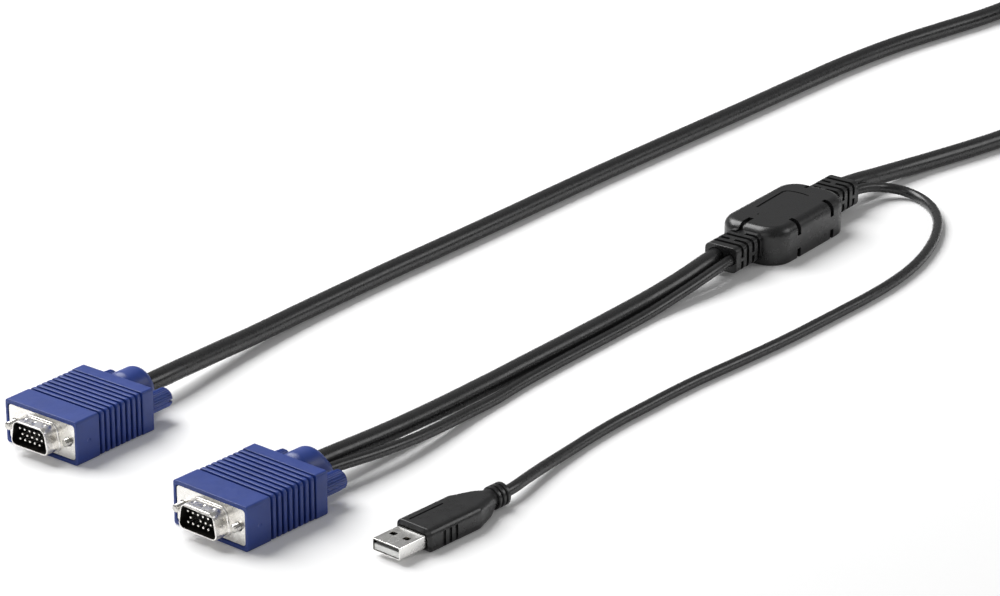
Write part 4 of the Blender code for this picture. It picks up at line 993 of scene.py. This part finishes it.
usb_shell = slab("usb_folded_shell", 0.0, usb_shell_end, usb_wide / 2, usb_middle,
                 usb_tall / 2)
round_edges(usb_shell, 0.00055, 4, lengthwise)
round_edges(usb_shell, 0.00010, 2, lambda middle, way: middle.x < 0.00001)
hollow = box("hollow", (-0.001, usb_wall - usb_wide / 2, usb_middle + usb_wall - usb_tall / 2),
             (usb_shell_end + 0.001, usb_wide / 2 - usb_wall,
              usb_middle + usb_tall / 2 - usb_wall))
round_edges(hollow, 0.00025, 3, lengthwise)
cut(usb_shell, hollow)
for y in (0.0029, -0.0029):
    window = box("window", (window_front, y - window_half, -0.001),
                 (window_rear, y + window_half, 0.009))
    round_edges(window, 0.00020, 2, upright)
    cut(usb_shell, window)
seam = box("fold_seam", (-0.001, -0.00005, 0.0010), (0.0200, 0.00005, 0.0030))
cut(usb_shell, seam)
coat(usb_shell, usb_nickel, 30)
# the shell's inner walls get the painted shade
line_inside(usb_shell, usb_middle, 0.0001)
usb_shell.data.transform(usb_lie)
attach(usb_shell, "cable")
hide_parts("usb_shell")

usb_floor = usb_middle - usb_tall / 2 + usb_wall
tongue = box("usb_white_tongue",
             (0.0003, usb_wall + tongue_gap - usb_wide / 2, usb_floor + tongue_low),
             (usb_shell_end - 0.0003, usb_wide / 2 - usb_wall - tongue_gap,
              usb_floor + tongue_top))
round_edges(tongue, 0.00012, 2, lambda middle, way: middle.x < 0.00031)
for y in (-0.0035, -0.0010, 0.0010, 0.0035):
    cut(tongue, box("contact_way", (0.0020, y - contact_half, usb_floor + 0.00165),
                    (0.0200, y + contact_half, usb_floor + 0.0030)))
coat(tongue, white)
tongue.data.transform(usb_lie)
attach(tongue, "cable")
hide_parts("usb_insulator")
dress(gold, "usb_contact_1", "usb_contact_2", "usb_contact_3", "usb_contact_4")
dress(clear_pe, "usb_inner_mould")
dress(bare_copper, "usb_cord_core")
dress(nickel, "usb_ferrule")


# The USB grip.  Black PVC moulded over the shell's rear: a flat handle with chamfered edges, a
# slope round the shell in front, a sunk line on top and three finger grooves on each side,
# that narrows straight to a round neck with three rings on the cord.
grip_front, grip_straight, grip_end = 0.0124, 0.0368, 0.0496
grip_across, grip_up = 0.0078, 0.0040
neck_radius, ring_radius = 0.0034, 0.0041
grip_lift, neck_lift = 0.0001, 0.00012
top_chamfer, foot_chamfer = 0.0014, 0.0006
corners = 64
sections = [(grip_front, grip_across - 0.0010, grip_up - 0.0012, 0.0),
            (grip_front + 0.00085, grip_across - 0.00018, grip_up - 0.00022, 0.0),
            (grip_front + 0.00097, grip_across - 0.00005, grip_up - 0.00006, 0.0),
            (grip_front + 0.0011, grip_across, grip_up, 0.0)]
for step in range(1, 5):
    sections.append((grip_front + 0.0011 + step * 0.00582, grip_across, grip_up, 0.0))
for step in range(1, 15):
    share = step / 14
    sections.append((grip_straight + share * (grip_end - grip_straight),
                     grip_across + (neck_radius - grip_across) * share,
                     grip_up + (neck_radius - grip_up) * share, ease(share, 0.65, 1.0)))
sections.append((grip_end + 0.0006, neck_radius, neck_radius, 1.0))
for ring in range(3):
    start = grip_end + 0.0006 + ring * 0.0021
    for x, radius in ((0.00004, ring_radius - 0.0003), (0.0003, ring_radius),
                      (0.0012, ring_radius), (0.00146, ring_radius - 0.0003),
                      (0.0015, neck_radius), (0.0021, neck_radius)):
        if ring < 2 or x < 0.00148:
            sections.append((start + x, radius, radius, 1.0))

grip_mesh = bmesh.new()
rings = []
for x, across, up, roundness in sections:
    ring = []
    for index in range(corners):
        angle = 2 * math.pi * (index + 0.5) / corners
        c, s = abs(math.cos(angle)), abs(math.sin(angle))
        chamfer = (top_chamfer if index < corners / 2 else foot_chamfer) * up / grip_up
        flat = ((c / across) ** 30 + (s / up) ** 30
                + ((c + s) / (across + up - chamfer)) ** 30) ** (-1 / 30)
        oval = across * up / math.hypot(up * c, across * s)
        reach = flat + (oval - flat) * roundness
        ring.append(grip_mesh.verts.new((
            x, reach * math.cos(angle),
            usb_middle + grip_lift + neck_lift * roundness + reach * math.sin(angle))))
    rings.append(ring)
for row, following in zip(rings, rings[1:]):
    for index in range(corners):
        after = (index + 1) % corners
        grip_mesh.faces.new((row[index], row[after], following[after], following[index]))
grip_mesh.faces.new(rings[0])
grip_mesh.faces.new(rings[-1])
bmesh.ops.recalc_face_normals(grip_mesh, faces=grip_mesh.faces[:])
grip_data = bpy.data.meshes.new("usb_black_grip")
grip_mesh.to_mesh(grip_data)
grip_mesh.free()
usb_grip = bpy.data.objects.new("usb_black_grip", grip_data)
bpy.context.collection.objects.link(usb_grip)
bpy.context.view_layer.update()

top = usb_middle + grip_lift + grip_up
sunk_line = box("sunk_line", (0.0150, 0.0034, top - 0.0006), (0.0310, 0.0041, top + 0.001))
cut(usb_grip, sunk_line)
for x in (0.0193, 0.0222, 0.0251):
    for hand in (-1, 1):
        a, b = sorted((hand * 0.0071, hand * 0.0090))
        groove = box("finger_groove", (x - 0.00065, a, -0.0010), (x + 0.00065, b, 0.0061))
        round_edges(groove, 0.0002, 2, upright)
        cut(usb_grip, groove)
seat = slab("shell_seat", 0.0100, 0.0300, 0.0063, usb_middle, 0.00255)
round_edges(seat, 0.0006, 3, lengthwise)
join(seat, rod("ferrule_room", 0.0290, 0.0352, 0.0031, 0.0, usb_middle))
join(seat, rod("cord_bore", 0.0340, 0.0600, thin_bore, 0.0, usb_middle))
cut(usb_grip, seat)
coat(usb_grip, black, 32)
usb_grip.data.transform(usb_lie)
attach(usb_grip, "cable")
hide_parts("usb_overmould")


# The strap round the coil.  A black woven hook-and-loop band, 10 mm wide, goes once round the
# coil's turns and sticks to itself on the outside.
strap_turn = math.radians(-40)
strap_half, strap_thick = 0.0050, 0.0012

weave_skin, taken, given, where = new_skin("woven_band", (
    ("Colour", (0.02, 0.02, 0.022, 1.0)),))
link = weave_skin.links.new
threads = []
for direction in ("X", "Y"):
    thread = weave_skin.nodes.new("ShaderNodeTexWave")
    thread.wave_type = "BANDS"
    thread.bands_direction = direction
    thread.inputs["Scale"].default_value = 420.0
    thread.inputs["Distortion"].default_value = 1.5
    link(where, thread.inputs["Vector"])
    threads.append(thread.outputs["Fac"])
crossing = math_node(weave_skin, "MAXIMUM", *threads)
weave_shade = spread_node(weave_skin, crossing, 0.55, 1.25)
link(shaded(weave_skin, taken["Colour"], weave_shade), given["Colour"])
link(spread_node(weave_skin, crossing, 0.95, 0.75), given["Roughness"])
link(crossing, given["Height"])
band_fabric = with_skin("black_woven_band", weave_skin, 0.6, 0.0002)[0]


def sideways(middle, way):
    return abs(way.y) > 0.9


# in the strap's own frame X points away from the coil's middle and Y lies along its turns
near, far, strap_top = 0.0308, 0.0466, 0.0135
strap = box("coil_strap", (near - strap_thick, -strap_half, 0.0),
            (far + strap_thick, strap_half, strap_top + strap_thick))
round_edges(strap, 0.0030, 5, sideways)
inside = box("strap_inside", (near, -0.02, strap_thick), (far, 0.02, strap_top))
round_edges(inside, 0.0018, 5, sideways)
cut(strap, inside)
round_edges(strap, 0.00018, 2, lambda middle, way: abs(abs(middle.y) - strap_half) < 0.00001)
coat(strap, band_fabric, 40)
strap.data.transform(Matrix.Translation((coil_x, coil_y, 0.0))
                     @ Matrix.Rotation(strap_turn, 4, "Z"))
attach(strap, "cable")
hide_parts("coil_tie")
